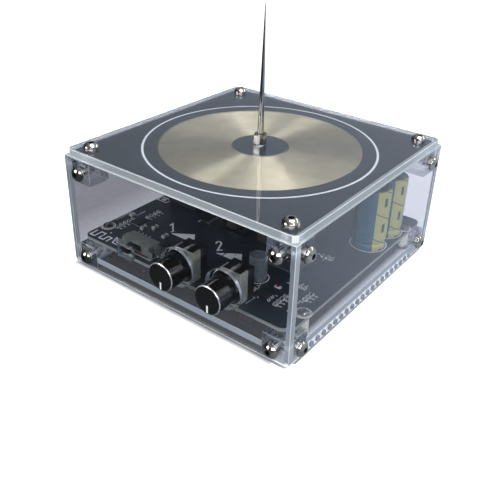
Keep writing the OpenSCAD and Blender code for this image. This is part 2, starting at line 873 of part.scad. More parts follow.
// Skirted knob pressed on its shaft. A groove in its face points down
module knob(x) {
    edge = 0.7;
    grip_r = knob_d / 2;
    color([0.06, 0.06, 0.07])
        translate([x, knob_back, shaft_z])
            rotate([90, 0, 0])
                difference() {
                    union() {
                        cylinder(h = skirt_t - 0.4, d = skirt_d);
                        translate([0, 0, skirt_t - 0.4]) cylinder(h = 0.4, d1 = skirt_d, d2 = skirt_d - 0.8);
                        cylinder(h = knob_l - edge, r = grip_r);
                        translate([0, 0, knob_l - edge]) cylinder(h = edge, r1 = grip_r, r2 = grip_r - edge);
                    }
                    translate([0, 0, -over])
                        cylinder(h = knob_back - shaft_end + 0.3 + over, r = shaft_d / 2 + 0.03);
                    translate([-0.5, -grip_r - over, knob_l - 0.3])
                        cube([1, 0.55 * grip_r + over, 0.3 + over]);
                }
}

module potentiometer_1_cover() in_frame() potentiometer_cover(knob_x[0]);
module potentiometer_1_body() in_frame() potentiometer_body(knob_x[0]);
module potentiometer_1_shaft() in_frame() potentiometer_shaft(knob_x[0]);
module knob_1() in_frame() knob(knob_x[0]);
module potentiometer_2_cover() in_frame() potentiometer_cover(knob_x[1]);
module potentiometer_2_body() in_frame() potentiometer_body(knob_x[1]);
module potentiometer_2_shaft() in_frame() potentiometer_shaft(knob_x[1]);
module knob_2() in_frame() knob(knob_x[1]);

// ---- Slide switch ----

switch_front = -board_half + switch_setback;
switch_base_h = 1;
switch_cover_t = 0.5;
lever_slot_gap = 1.5;
lever_gap = 0.3;
// Running clearance of the slider in its cover
slider_fit = 0.1;
// Middle of the lever above the driver board
lever_up = switch_base_h + (switch_h - switch_base_h - switch_cover_t) / 2;

module switch_base() in_frame() {
    color([0.35, 0.25, 0.15])
        translate([switch_x - switch_l / 2, switch_front, board_top])
            cube([switch_l, switch_d, switch_base_h]);
}

// Folded cover with a window in front for the lever
module switch_cover() in_frame() {
    t = switch_cover_t;
    window_w = lever_w + switch_travel + 2 * lever_gap;
    color("silver")
        translate([switch_x, switch_front, board_top + switch_base_h])
            difference() {
                translate([-switch_l / 2, 0, 0]) cube([switch_l, switch_d, switch_h - switch_base_h]);
                translate([-switch_l / 2 + t, t, -over])
                    cube([switch_l - 2 * t, switch_d - 2 * t, switch_h - switch_base_h - t + over]);
                translate([-window_w / 2, -over, lever_up - switch_base_h - lever_h / 2 - lever_gap])
                    cube([window_w, t + 2 * over, lever_h + 2 * lever_gap]);
            }
}

// Lever at the left end of its travel, on a slider that runs on the base
module switch_lever() in_frame() {
    stem = switch_front + inner + lever_reach;
    slider_w = lever_w + 4;
    slider_h = switch_h - switch_base_h - switch_cover_t - 2 * slider_fit;
    color([0.05, 0.05, 0.05])
        translate([switch_x - switch_travel / 2, switch_front, board_top + lever_up]) {
            translate([-lever_w / 2, -stem, -lever_h / 2]) cube([lever_w, stem + 2, lever_h]);
            translate([-slider_w / 2, switch_cover_t + slider_fit, -slider_h / 2])
                cube([slider_w, switch_d - 2 * switch_cover_t - 2 * slider_fit, slider_h]);
        }
}

top_plate();
front_panel();
back_panel();
left_panel();
right_panel();
floor_plate();
upper_corner_blocks();
lower_corner_blocks();
top_screws();
front_screws();
back_screws();
left_screws();
right_screws();
coil_board();
secondary_coil();
primary_coil();
feed_posts();
needle_stud();
needle_nut();
discharge_needle();
driver_board();
board_standoffs();
board_screws();
floor_screws();
supply_capacitor_front();
supply_capacitor_back();
small_capacitor();
film_capacitors();
filter_choke();
gate_transformer();
heat_sink();
power_transistors();
transistor_screws();
driver_chips();
radio_chip();
surface_parts();
power_led();
supply_socket();
socket_pin();
potentiometer_1_cover();
potentiometer_1_body();
potentiometer_1_shaft();
knob_1();
potentiometer_2_cover();
potentiometer_2_body();
potentiometer_2_shaft();
knob_2();
switch_base();
switch_cover();
switch_lever();
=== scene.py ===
"""Looks of a desktop resonant transformer: two boards in a clear acrylic case, with a discharge needle.

Shapes are worked out in millimetres from the middle of the case at table level, and put into the frame
in metres.
"""

import math

import bmesh
import bpy
import numpy as np
from mathutils import Matrix, Vector


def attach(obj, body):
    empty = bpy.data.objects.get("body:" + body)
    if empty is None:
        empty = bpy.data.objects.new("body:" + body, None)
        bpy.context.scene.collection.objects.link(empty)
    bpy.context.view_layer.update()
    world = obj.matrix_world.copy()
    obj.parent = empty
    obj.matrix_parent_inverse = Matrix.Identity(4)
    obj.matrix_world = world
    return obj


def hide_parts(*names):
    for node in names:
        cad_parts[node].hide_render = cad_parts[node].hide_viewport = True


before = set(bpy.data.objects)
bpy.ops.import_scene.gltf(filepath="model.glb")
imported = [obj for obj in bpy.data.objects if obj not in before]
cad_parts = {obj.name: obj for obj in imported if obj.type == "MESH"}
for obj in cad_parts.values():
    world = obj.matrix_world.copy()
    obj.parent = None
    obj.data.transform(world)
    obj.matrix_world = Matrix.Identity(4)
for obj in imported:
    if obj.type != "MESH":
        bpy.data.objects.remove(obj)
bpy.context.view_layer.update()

TAU = 2 * math.pi
CASE_MIDDLE = np.array([0.0, 3.5, 0.0])  # where the case's middle lies in the frame

# Sizes that the solids share with the part's source
CASE_W = 124.0
INNER, OUTER = 59.0, 62.0  # from the middle to the inside and the outside of the panels
LID_TOP = 59.0
COIL_Z, COIL_TOP = 54.4, 56.0  # faces of the coil board
FLOOR_Z = 4.0  # underside of the floor plate
BOARD_Z, BOARD_TOP = 14.0, 15.6  # faces of the driver board
BLOCK_C, UPPER_Z, LOWER_Z = 53.5, 48.9, 6.0  # tapped holes of the corner blocks
CORNERS = ((1, 1), (-1, 1), (-1, -1), (1, -1))
STAND_AF = 4.5  # standoffs: width across the flats, and their middles 0.4 mm clear of the lower blocks
STAND_X, STAND_Y = 54.8, INNER - 11 - 0.4 - STAND_AF / math.cos(math.pi / 6) / 2
STANDS = [(sx * STAND_X, sy * STAND_Y) for sx, sy in CORNERS]
KNOB_X, SHAFT_Z = (3.9, 28.9), 23.3
KNOB_BACK, KNOB_L = -57.7, 13.5
POT_FRONT, POT_LEG_Y = -55.6, -44.6
SWITCH_X, SWITCH_FRONT, SWITCH_L = -27.0, -54.0, 16.8
SWITCH_LEG_Y, EAR_Y, LEVER_X = -45.9, -50.2, -28.5
BIG_CAPS, SMALL_CAP = ((47.9, 20.8), (47.9, 37.0)), (27.5, -34.6)
FILM_X, FILM_Y = -41, (-4, 7)
CHOKE, GATE = (14, -4), (-6, -7)
LED, RADIO = (38.6, -35.4), (-46, -33)
TRANSISTOR_X, TAB_Y = (-18.0, 2.0), 12.72


# ---- Shapes: each is (points, faces, material number) ----


def turned(points, way):
    """The points with their own Z axis turned to face one of six ways, by a fixed rotation matrix."""
    turns = {
        "up": [[1, 0, 0], [0, 1, 0], [0, 0, 1]],
        "down": [[1, 0, 0], [0, -1, 0], [0, 0, -1]],
        "front": [[1, 0, 0], [0, 0, 1], [0, -1, 0]],
        "back": [[1, 0, 0], [0, 0, -1], [0, 1, 0]],
        "right": [[0, 0, -1], [0, 1, 0], [1, 0, 0]],
        "left": [[0, 0, 1], [0, 1, 0], [-1, 0, 0]],
    }
    return points @ np.array(turns[way], float)


def spun(points, degrees):
    """The points turned about their own Z axis: (x cos - y sin, x sin + y cos)."""
    a = math.radians(degrees)
    return points @ np.array([[math.cos(a), math.sin(a), 0], [-math.sin(a), math.cos(a), 0], [0, 0, 1]])


def skin(points, material=0, at=(0, 0, 0), way="up", spin=0.0, loop=False):
    """Quads between the neighbours of an (n, m) grid of points whose rows are closed rings.

    A flat face closes each end, unless the rows form a loop.
    """
    n, m = points.shape[:2]
    i = np.arange(n if loop else n - 1)[:, None]
    j = np.arange(m)[None, :]
    nxt = (i + 1) % n
    quads = np.stack([i * m + j, i * m + (j + 1) % m, nxt * m + (j + 1) % m, nxt * m + j], -1)
    faces = quads.reshape(-1, 4).tolist()
    if not loop:
        faces.append(list(range(m))[::-1])
        faces.append(list(range((n - 1) * m, n * m)))
    return turned(spun(points.reshape(-1, 3), spin), way) + np.array(at, float), faces, material


def ring(r, z, sides=48):
    """Level rings about Z: (r cos a, r sin a, z), where r and z may differ by row and by angle."""
    a = np.arange(sides) / sides * TAU
    return np.stack(np.broadcast_arrays(r * np.cos(a), r * np.sin(a), z), -1)


def lathe(profile, sides=48, **place):
    """A profile of (radius, height) turned about Z."""
    r, z = np.array(profile, float).T[:, :, None]
    return skin(ring(r, z, sides), **place)


def arc(r, z, radius, start, stop, steps=5):
    """Points of a profile on a circle of that radius about (r, z), from one angle to another in degrees."""
    a = np.radians(np.linspace(start, stop, steps))
    return list(zip(r + radius * np.cos(a), z + radius * np.sin(a)))


def rounded(w, d, r, steps=4):
    """Outline of a rectangle w by d whose corners are quarter circles of radius r."""
    a = np.radians(np.arange(4)[:, None] * 90 + np.linspace(0, 90, steps + 1)[None, :])
    quarter = np.radians(np.arange(4)[:, None] * 90 + 45)
    x = np.sign(np.cos(quarter)) * (w / 2 - r) + r * np.cos(a)
    y = np.sign(np.sin(quarter)) * (d / 2 - r) + r * np.sin(a)
    return np.stack([x.ravel(), y.ravel()], -1)


def slab(w, d, h, r=0.3, edge=0.12, steps=3, **place):
    """A block standing on Z = 0: stacked rounded rectangles.

    The first and last of them step in and up along a quarter circle of radius edge.
    """
    a = np.radians(np.linspace(0, 90, 4))
    levels = [(edge - edge * math.cos(t), edge - edge * math.sin(t)) for t in a]
    levels += [(h - z, i) for z, i in levels[::-1]]
    rows = [
        np.column_stack([rounded(w - 2 * i, d - 2 * i, max(r - i, 0.01), steps), np.full(4 * steps + 4, z)])
        for z, i in levels
    ]
    return skin(np.array(rows), **place)


def ribbon(path, width, h=0.03, closed=False, **place):
    """A flat strip along a path in XY: its sides lie half a width off, along the mitre of each corner."""
    p = np.array(path, float)
    before = np.roll(p, 1, 0) if closed else np.vstack([p[:1] * 2 - p[1:2], p[:-1]])
    after = np.roll(p, -1, 0) if closed else np.vstack([p[1:], p[-1:] * 2 - p[-2:-1]])
    a, b = p - before, after - p
    a /= np.linalg.norm(a, axis=1)[:, None]
    b /= np.linalg.norm(b, axis=1)[:, None]
    na, nb = a[:, ::-1] * [-1, 1], b[:, ::-1] * [-1, 1]
    mitre = (na + nb) / (1 + (na * nb).sum(1))[:, None] * (width / 2)
    corners = ((-1, 0), (-1, h), (1, h), (1, 0))
    section = [np.column_stack([p + s * mitre, np.full(len(p), z)]) for s, z in corners]
    return skin(np.stack(section, 1), loop=closed, **place)


def strap(path, side, width, thick, **place):
    """A flat bar bent along a path: its section is width along side and thick along tangent x side."""
    p, s = np.array(path, float), np.array(side, float)
    t = np.gradient(p, axis=0)
    t /= np.linalg.norm(t, axis=1)[:, None]
    n = np.cross(t, s)
    n /= np.linalg.norm(n, axis=1)[:, None]
    section = [p + s * u * width / 2 + n * v * thick / 2 for u, v in ((-1, -1), (1, -1), (1, 1), (-1, 1))]
    return skin(np.stack(section, 1), **place)


def circle(x, y, r, width, h=0.03, sides=48, **place):
    """A flat ring: a closed ribbon along a circle."""
    return ribbon(ring(r, 0, sides)[:, :2] + [x, y], width, h, closed=True, **place)


def disc(x, y, r, h=0.03, sides=16, z=BOARD_TOP, **place):
    """A low round pad."""
    return lathe([(r, 0), (r, h * 0.7), (r * 0.94, h)], sides, at=(x, y, z), **place)


def on(x, y, lift=0.0):
    """A place that far above the driver board."""
    return x, y, BOARD_TOP + lift


def around(x, y, dx, dy, degrees):
    """A place beside (x, y): the offset (dx, dy) turned by an angle."""
    a = math.radians(degrees)
    return x + dx * math.cos(a) - dy * math.sin(a), y + dx * math.sin(a) + dy * math.cos(a)


# ---- Pieces ----


def finished(name, mesh, finishes, body="case", stands_for=(), slot=None, smooth=30, bevel=0.0):
    """The mesh as an object with outward faces, soft shading up to an angle and eased edges."""
    shell = bmesh.new()
    shell.from_mesh(mesh)
    bmesh.ops.recalc_face_normals(shell, faces=shell.faces)
    shell.to_mesh(mesh)
    shell.free()
    mesh.shade_smooth()
    mesh.set_sharp_from_angle(angle=math.radians(smooth))
    for m in finishes:
        mesh.materials.append(m)
    obj = bpy.data.objects.new(name, mesh)
    bpy.context.scene.collection.objects.link(obj)
    if bevel:
        mod = obj.modifiers.new("Eased edges", "BEVEL")
        mod.width, mod.segments = bevel / 1000, 2
        mod.limit_method, mod.angle_limit = "ANGLE", math.radians(40)
        mod.harden_normals = False
    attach(obj, body)
    if stands_for:
        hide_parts(*stands_for)
    return obj


def piece(name, shapes, finishes, **how):
    """One object of all the shapes, put into the frame."""
    start = np.cumsum([0] + [len(s[0]) for s in shapes])
    points = (np.vstack([s[0] for s in shapes]) + CASE_MIDDLE) / 1000
    faces = [[k + first for k in f] for s, first in zip(shapes, start) for f in s[1]]
    mesh = bpy.data.meshes.new(name)
    mesh.from_pydata(points.tolist(), [], faces)
    numbers = np.concatenate([np.full(len(s[1]), s[2], np.int32) for s in shapes])
    mesh.polygons.foreach_set("material_index", numbers)
    return finished(name, mesh, finishes, **how)


def dressed(node, shapes, finishes, slot, **how):
    """The finished piece that stands for one solid."""
    return piece(node + "_shown", shapes, finishes, stands_for=(node,), slot=slot, **how)


def eased_copy(node, finish, slot, bevel, gap=0.01, merged=True, body="case"):
    """A copy of a solid whose every face stands back by gap, so that touching sheets keep an air gap.

    Each point moves by the d that best fits n . d = -gap for the normals n of all faces through it. A small
    folded sheet isn't merged into large faces, because its bevel divides them badly.
    """
    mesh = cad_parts[node].data.copy()
    shell = bmesh.new()
    shell.from_mesh(mesh)
    bmesh.ops.remove_doubles(shell, verts=shell.verts, dist=2e-6)
    if merged:
        bmesh.ops.dissolve_limit(shell, angle_limit=math.radians(0.5), verts=shell.verts, edges=shell.edges)
    shell.to_mesh(mesh)
    shell.free()
    points, normals = np.empty((len(mesh.vertices), 3)), np.empty((len(mesh.polygons), 3))
    mesh.vertices.foreach_get("co", points.ravel())
    mesh.polygons.foreach_get("normal", normals.ravel())
    sizes, corner = np.empty(len(mesh.polygons), np.int32), np.empty(len(mesh.loops), np.int32)
    mesh.polygons.foreach_get("loop_total", sizes)
    mesh.loops.foreach_get("vertex_index", corner)
    n = normals[np.repeat(np.arange(len(sizes)), sizes)]
    a, b = np.zeros((len(points), 3, 3)), np.zeros((len(points), 3))
    np.add.at(a, corner, n[:, :, None] * n[:, None, :])
    np.add.at(b, corner, -gap / 1000 * n)
    points += (np.linalg.pinv(a, rcond=1e-2) @ b[:, :, None])[:, :, 0]
    mesh.vertices.foreach_set("co", points.ravel())
    mesh.materials.clear()
    mesh.polygons.foreach_set("material_index", np.zeros(len(mesh.polygons), np.int32))
    return finished(node + "_shown", mesh, [finish], body, (node,), slot, 35, bevel)


# ---- Materials ----


def linear(code):
    """An sRGB hex colour as linear light, by the standard's two-part curve."""
    c = np.array([int(code[k : k + 2], 16) for k in (1, 3, 5)]) / 255
    return (*np.where(c <= 0.04045, c / 12.92, ((c + 0.055) / 1.055) ** 2.4).tolist(), 1.0)


def add(tree, kind, *values, **named):
    """Adds a node. Values fill its inputs in order, capitalised names are inputs and other names settings.

    A value is a number, a colour, a socket, or a node, which stands for its first output in use.
    """
    made = tree.nodes.new("ShaderNode" + kind)
    for key, value in named.items():
        if key[0].islower():
            setattr(made, key, value)
    pairs = list(zip([socket for socket in made.inputs if socket.enabled], values))
    pairs += [(made.inputs[key.replace("_", " ")], value) for key, value in named.items() if key[0].isupper()]
    for socket, value in pairs:
        if isinstance(value, bpy.types.ShaderNode):
            value = next(output for output in value.outputs if output.enabled)
        if isinstance(value, bpy.types.NodeSocket):
            tree.links.new(value, socket)
        else:
            socket.default_value = value
    return made


def material(name):
    """A new node material, its empty tree, and object coordinates in millimetres from the case's middle."""
    made = bpy.data.materials.new(name)
    made.use_nodes = True
    tree = made.node_tree
    tree.nodes.clear()
    place = add(tree, "TexCoord").outputs["Object"]
    return made, tree, add(tree, "Mapping", place, (0, -CASE_MIDDLE[1], 0), Scale=(1000, 1000, 1000))


def speckled(tree, mm, size, colours, detail=2.0):
    """Noise with grains of that size in millimetres: its colour, run between two, and its value."""
    grain = add(tree, "TexNoise", mm, Scale=1 / size, Detail=detail)
    ramp = add(tree, "ValToRGB", grain)
    for stop, at, colour in zip(ramp.color_ramp.elements, (0.35, 0.65), colours):
        stop.position, stop.color = at, linear(colour)
    return ramp, grain


def plain(name, colours, size, roughness, depth=0.01, spread=0.1, metallic=0.0, **inputs):
    """A finish of one substance: grain of that size in its colour, its height and its roughness.

    depth is the whole height of the grain in millimetres, and spread the whole range of its roughness.
    """
    made, tree, mm = material(name)
    colour, grain = speckled(tree, mm, size, colours, 3.0)
    rough = add(tree, "MapRange", grain, To_Min=roughness - spread / 2, To_Max=roughness + spread / 2)
    bump = add(tree, "Bump", Height=grain, Distance=depth / 1000)
    surface = {"Base_Color": colour, "Roughness": rough, "Normal": bump, "Metallic": metallic, **inputs}
    add(tree, "OutputMaterial", add(tree, "BsdfPrincipled", **surface))
    return made


def facing(tree, axis):
    """1 where the surface faces along one of the piece's axes (0 X, 1 Y, 2 Z), either way, 0 elsewhere."""
    normal = add(tree, "SeparateXYZ", add(tree, "TexCoord").outputs["Normal"])
    size = add(tree, "Math", normal.outputs[axis], operation="ABSOLUTE")
    return add(tree, "Math", size, 0.6, operation="GREATER_THAN")


def arrises(tree):
    """1 on the narrow eased edges, whose normals lie between the piece's axes, and 0 on its flat faces."""
    normal = add(tree, "SeparateXYZ", add(tree, "TexCoord").outputs["Normal"])
    x, y, z = [add(tree, "Math", part, operation="ABSOLUTE") for part in normal.outputs]
    longest = add(tree, "Math", add(tree, "Math", x, y, operation="MAXIMUM"), z, operation="MAXIMUM")
    return add(tree, "Math", longest, 0.95, operation="LESS_THAN")


def cast_acrylic(name, axis=None, cut_clear=0.5):
    """Cast acrylic sheet, laser cut: polished clear faces, finely ribbed cut edges, and arrises painted white
    as a highlight.

    axis is the one that the faces look along, and blocks have polished faces all round. cut_clear is the
    share of light that goes through a cut edge rather than being scattered back.
    """
    made, tree, mm = material(name)
    # Cast sheet is flat to a hundredth of a millimetre over 40 mm, so its reflections wander a little
    wave = add(tree, "TexNoise", mm, Scale=1 / 40, Detail=1.0)
    clear_face = {"Base_Color": linear("#E9E9EF"), "Roughness": 0.0, "Transmission_Weight": 1.0}
    bump = add(tree, "Bump", Height=wave, Distance=1e-5)
    face = add(tree, "BsdfPrincipled", IOR=1.49, Normal=bump, **clear_face)
    arris_painted_highlight = arrises(tree)
    if axis is not None:
        # The laser leaves ribs 0.5 mm apart. The walls of the openings, which lie within 47 mm of the middle
        # and from 0.8 to 50.2 mm high, are greyed as painted shade, and most of all those of the lever's slot
        ribs = add(tree, "TexNoise", mm, Scale=1 / 0.5, Detail=1.0)
        x, y, z = add(tree, "SeparateXYZ", mm).outputs
        across = [add(tree, "Math", part, operation="ABSOLUTE") for part in (x, y)]
        near = add(tree, "Math", add(tree, "Math", *across, operation="MINIMUM"), 47.0, operation="LESS_THAN")
        high = add(tree, "Math", z, 25.5, 24.7, operation="COMPARE")
        inner = add(tree, "Math", near, high, operation="MULTIPLY")
        opening = add(tree, "Math", inner, 1.0 if axis != 2 else 0.0, operation="MULTIPLY")
        lever_slot = add(tree, "Math", x, SWITCH_X, 7.0, operation="COMPARE")
        painted_shade_tone = add(tree, "Mix", lever_slot, linear("#A3ACB5"), linear("#56606A"), data_type="RGBA")
        tone = add(tree, "Mix", opening, linear("#CDD5DB"), painted_shade_tone, data_type="RGBA")
        bump = add(tree, "Bump", Height=ribs, Distance=2e-5)
        cut = {"Base_Color": tone, "Roughness": 0.2, "Transmission_Weight": cut_clear}
        edge = add(tree, "BsdfPrincipled", IOR=1.49, Normal=bump, **cut)
        face = add(tree, "MixShader", facing(tree, axis), edge, face)
        # The openings' arrises are left without the painted highlight
        arris_painted_highlight = add(tree, "Math", arris_painted_highlight, opening, operation="SUBTRACT", use_clamp=True)
    # The arrises are near white: a painted highlight for the light that they catch and let out of the sheet
    painted_highlight_surface = {"Base_Color": linear("#FBFDFE"), "Roughness": 0.35, "Transmission_Weight": 0.1}
    face = add(tree, "MixShader", arris_painted_highlight, face, add(tree, "BsdfPrincipled", IOR=1.49, **painted_highlight_surface))
    # Lamps and scattered light pass straight through, as they nearly do through thin clear sheet. The small
    # blocks let over half of all light pass so, or their many faces would turn dark
    path = add(tree, "LightPath").outputs
    straight = add(tree, "Math", path["Is Shadow Ray"], path["Is Diffuse Ray"], operation="MAXIMUM")
    if axis is None:
        straight = add(tree, "Math", straight, 0.55, operation="MAXIMUM")
    clear = add(tree, "BsdfTransparent", linear("#F4F6F7"))
    add(tree, "OutputMaterial", add(tree, "MixShader", straight, face, clear))
    return made


def laminate(name, mask, edge, inked=None):
    """Glass-fibre laminate under satin solder mask, with the bare fibre's layers on its routed edge.

    inked gives the inner and outer radius of a circle in white ink about the case's middle.
    """
    made, tree, mm = material(name)
    top, grain = speckled(tree, mm, 0.9, mask, 4.0)
    if inked:
        level = add(tree, "VectorMath", mm, (1, 1, 0), operation="MULTIPLY")
        away = add(tree, "VectorMath", level, operation="LENGTH")
        rise = add(tree, "MapRange", away, inked[0] - 0.04, inked[0] + 0.04)
        fall = add(tree, "MapRange", away, inked[1] - 0.04, inked[1] + 0.04, 1.0, 0.0)
        ink = add(tree, "Math", rise, fall, operation="MULTIPLY")
        top = add(tree, "Mix", ink, top, linear("#EEF3F5"), data_type="RGBA")
    # The real layers, 0.2 mm apart, are too fine to show. The wave's period is TAU / 20 / scale = 1.26 mm
    layers = add(tree, "TexWave", mm, Scale=0.25, Distortion=0.6, bands_direction="Z")
    fibre = add(tree, "Mix", layers.outputs["Fac"], *map(linear, edge), data_type="RGBA")
    colour = add(tree, "Mix", facing(tree, 2), fibre, top, data_type="RGBA")
    bump = add(tree, "Bump", Height=grain, Distance=6e-6)
    surface = add(tree, "BsdfPrincipled", Base_Color=colour, Roughness=0.38, IOR=1.5, Normal=bump)
    add(tree, "OutputMaterial", surface)
    return made


def looped_track(name, colours, roughness):
    """Metal track in fine loops round Z: its grooves draw highlights out into wedges of light."""
    made, tree, mm = material(name)
    colour, _ = speckled(tree, mm, 6.0, colours)
    round_axis = add(tree, "Tangent", direction_type="RADIAL", axis="Z")
    metal = {"Base_Color": colour, "Metallic": 0.85, "Roughness": roughness, "Tangent": round_axis}
    surface = add(tree, "BsdfPrincipled", Anisotropic=0.9, Anisotropic_Rotation=0.25, **metal)
    add(tree, "OutputMaterial", surface)
    return made


def printed_sleeve(name, x, y, middle):
    """Printed sleeve of a capacitor at (x, y): blue film, and a gold stripe with bars and slanting lines.

    turn is the angle from the stripe's middle in turns, and height the millimetres above the board.
    """
    made, tree, mm = material(name)
    here = add(tree, "Mapping", mm, (-x, -y, -BOARD_TOP))
    spun_back = add(tree, "Mapping", here, Rotation=(0, 0, math.radians(-middle)))
    right, back, height = add(tree, "SeparateXYZ", spun_back).outputs
    angle = add(tree, "Math", back, right, operation="ARCTAN2")
    turn = add(tree, "Math", angle, 1 / TAU, operation="MULTIPLY")
    off = add(tree, "Math", turn, operation="ABSOLUTE")
    stripe = add(tree, "Math", off, 0.088, operation="LESS_THAN")
    # Bars every 13 mm, 4.4 mm long, on the stripe's middle, and slanting lines between them
    step = add(tree, "Math", add(tree, "Math", height, 3.6, operation="ADD"), 13.0, operation="MODULO")
    long_part = add(tree, "Math", step, 4.4, operation="LESS_THAN")
    narrow = add(tree, "Math", off, 0.017, operation="LESS_THAN")
    bar = add(tree, "Math", long_part, narrow, operation="MULTIPLY")
    slant = add(tree, "Math", turn, 26.0, height, operation="MULTIPLY_ADD")
    wave = add(tree, "Math", add(tree, "Math", slant, 9.0, operation="ADD"), 13.0, operation="MODULO")
    line = add(tree, "Math", wave, 0.45, operation="LESS_THAN")
    marks = add(tree, "Math", bar, line, operation="MAXIMUM")
    film, grain = speckled(tree, mm, 3.0, ("#1E4F68", "#285D75"))
    gold = add(tree, "Mix", marks, linear("#C2BC72"), linear("#2F3A30"), data_type="RGBA")
    colour = add(tree, "Mix", stripe, film, gold, data_type="RGBA")
    bump = add(tree, "Bump", Height=grain, Distance=2e-5)
    gloss = {"Roughness": 0.3, "IOR": 1.54, "Coat_Weight": 0.3, "Coat_Roughness": 0.15}
    add(tree, "OutputMaterial", add(tree, "BsdfPrincipled", Base_Color=colour, Normal=bump, **gloss))
    return made


def transistor_finish(name):
    """Moulded epoxy. The tinned copper tab behind it and the tinned legs under it are told by their place."""
    made, tree, mm = material(name)
    _, y, z = add(tree, "SeparateXYZ", mm).outputs
    legs = add(tree, "Math", z, BOARD_TOP + 4.78, operation="LESS_THAN")
    tab = add(tree, "Math", y, TAB_Y, operation="GREATER_THAN")
    metal = add(tree, "Math", legs, tab, operation="MAXIMUM")
    epoxy, grain = speckled(tree, mm, 0.35, ("#121213", "#1D1D1F"), 4.0)
    colour = add(tree, "Mix", metal, epoxy, linear("#B9BBBC"), data_type="RGBA")
    rough = add(tree, "MapRange", metal, To_Min=0.6, To_Max=0.35)
    bump = add(tree, "Bump", Height=grain, Distance=1e-5)
    surface = {"Base_Color": colour, "Metallic": metal, "Roughness": rough, "Normal": bump}
    add(tree, "OutputMaterial", add(tree, "BsdfPrincipled", **surface))
    return made


# Clear sheet shows what lies behind it, and its edges draw the case's outline in white and grey. The white
# of the arrises is a painted highlight, and the grey of the openings' walls is painted shade
acrylic_level = cast_acrylic("cast_acrylic_level", 2)
# The floor plate's copy passes less light through its cut edges, so they show brighter: painted light
acrylic_floor_painted_bright = cast_acrylic("cast_acrylic_floor", 2, 0.1)
acrylic_cross = cast_acrylic("cast_acrylic_front_and_back", 1)
acrylic_side = cast_acrylic("cast_acrylic_sides", 0)
acrylic_block = cast_acrylic("cast_acrylic_blocks")

# Solder mask is satin and blue-black, a little lighter over copper track than over bare laminate
mask_coil = laminate("coil_laminate", ("#1F282D", "#242E34"), ("#A5A891", "#C2C5B2"), (52.9, 53.9))
mask_driver = laminate("driver_laminate", ("#181F28", "#1C242E"), ("#8A8F88", "#A5AAA1"))
mask_track = plain("solder_mask_on_track", ("#222B35", "#27313C"), 0.8, 0.36, 0.004, IOR=1.5)
white_ink = plain("screened_white_ink", ("#F0F3F3", "#FBFCFB"), 0.25, 0.6, 0.004, IOR=1.5)  # flat, chalky

# The coil's pale gold turns wedges of light round its middle, and bare copper has gone brown
gold_plating = looped_track("gold_plated_track", ("#D6CDAE", "#E0D7B9"), 0.46)
bare_track = looped_track("oxidised_copper_track", ("#A9693A", "#BF7F4C"), 0.35)

# Screws, nut and needle are plated or drawn and tumbled bright: near mirrors, whose grain hardly shows
black_nickel = plain("black_nickel_plated_steel", ("#B2AEA6", "#C4C0B7"), 1.2, 0.07, 0.003, 0.04, 1.0)
bright_steel = plain("bright_nickel_plated_steel", ("#8A8884", "#9C9A96"), 1.2, 0.1, 0.003, 0.06, 1.0)
drawn_needle = plain("drawn_stainless_needle", ("#8E8D8A", "#A09F9B"), 1.5, 0.08, 0.002, 0.04, 1.0)
# The walls of a socket are near black, painted shade in its recess, so each screw has a black middle
hex_socket_painted_shade = plain("broached_hex_socket", ("#1B1A19", "#2A2927"), 0.4, 0.4, 0.004, metallic=0.8)

# Thin plated and tinned sheet is grey and silky, with soft blotches left by the bath
plated_sheet = plain("nickel_plated_sheet", ("#757772", "#868883"), 3.0, 0.45, 0.003, 0.08, 0.3)
tinned_sheet = plain("tinned_steel_sheet", ("#B2B5AA", "#C6C9BE"), 1.8, 0.42, 0.006, 0.16, 0.6)
tin = plain("tin_solder", ("#C8CACC", "#E2E4E6"), 0.3, 0.34, 0.01, 0.2, 0.6)  # frosty, brighter on its crests
turned_brass = plain("turned_brass", ("#B8954A", "#CBA860"), 0.6, 0.28, 0.004, metallic=1.0)  # warm, satin

# Moulded nylon is cream and waxy, because light goes some way into it
WAX = {"Subsurface_Weight": 0.25, "Subsurface_Radius": (0.002, 0.0018, 0.0012)}
nylon = plain("moulded_nylon", ("#F6F2D8", "#FCF9E4"), 1.0, 0.45, IOR=1.53, **WAX)

# Knobs: a deep gloss grip, a satin face, and bevels cut with a diamond tool through the anodising, made near
# white and partly metal so that they show a painted highlight all round. The pointer is filled with flat
# white paint
LACQUER = {"IOR": 1.7, "Coat_Weight": 0.6, "Coat_Roughness": 0.04}
knob_gloss = plain("black_anodised_grip", ("#050506", "#09090A"), 1.0, 0.08, 0.001, 0.03, **LACQUER)
knob_face = plain("black_anodised_face", ("#060709", "#0B0C0E"), 0.4, 0.42, 0.004, IOR=1.6)
cut_bevel_painted_highlight = plain("diamond_cut_aluminium_painted_highlight", ("#E3E3E2", "#F2F2F1"), 0.5, 0.26, 0.002, metallic=0.75)
pointer_white = plain("filled_pointer_paint", ("#F0F0EC", "#FBFBF8"), 0.3, 0.4, 0.003, IOR=1.5)

# Blacks, told apart by their sheen: glossy moulded resin, dull epoxy with a pin mark of grey metal as a
# painted glint, stony ferrite, soft rubber, satin anodised fins and glazed resistors
black_moulding = plain("black_moulded_resin", ("#09090A", "#111112"), 0.5, 0.34, 0.008, IOR=1.55)
epoxy_chip = plain("epoxy_chip_body", ("#141416", "#202023"), 0.15, 0.55, IOR=1.55)
pin_mark_painted_glint = plain("polished_pin_mark", ("#6D6A66", "#85827D"), 0.4, 0.35, 0.006, metallic=1.0)
ferrite = plain("ferrite_composite", ("#232425", "#303132"), 0.25, 0.6, 0.02, IOR=1.6)
rubber_bung = plain("butyl_bung", ("#1B1B1C", "#262627"), 0.4, 0.7)
anodised = plain("black_anodised_extrusion", ("#2B2D30", "#393B3F"), 0.5, 0.42, 0.008, metallic=0.7)
resistor_black = plain("resistor_glaze", ("#16171A", "#212226"), 0.3, 0.35, 0.006, IOR=1.55)
transistor_mix = transistor_finish("transistor_epoxy_and_tab")

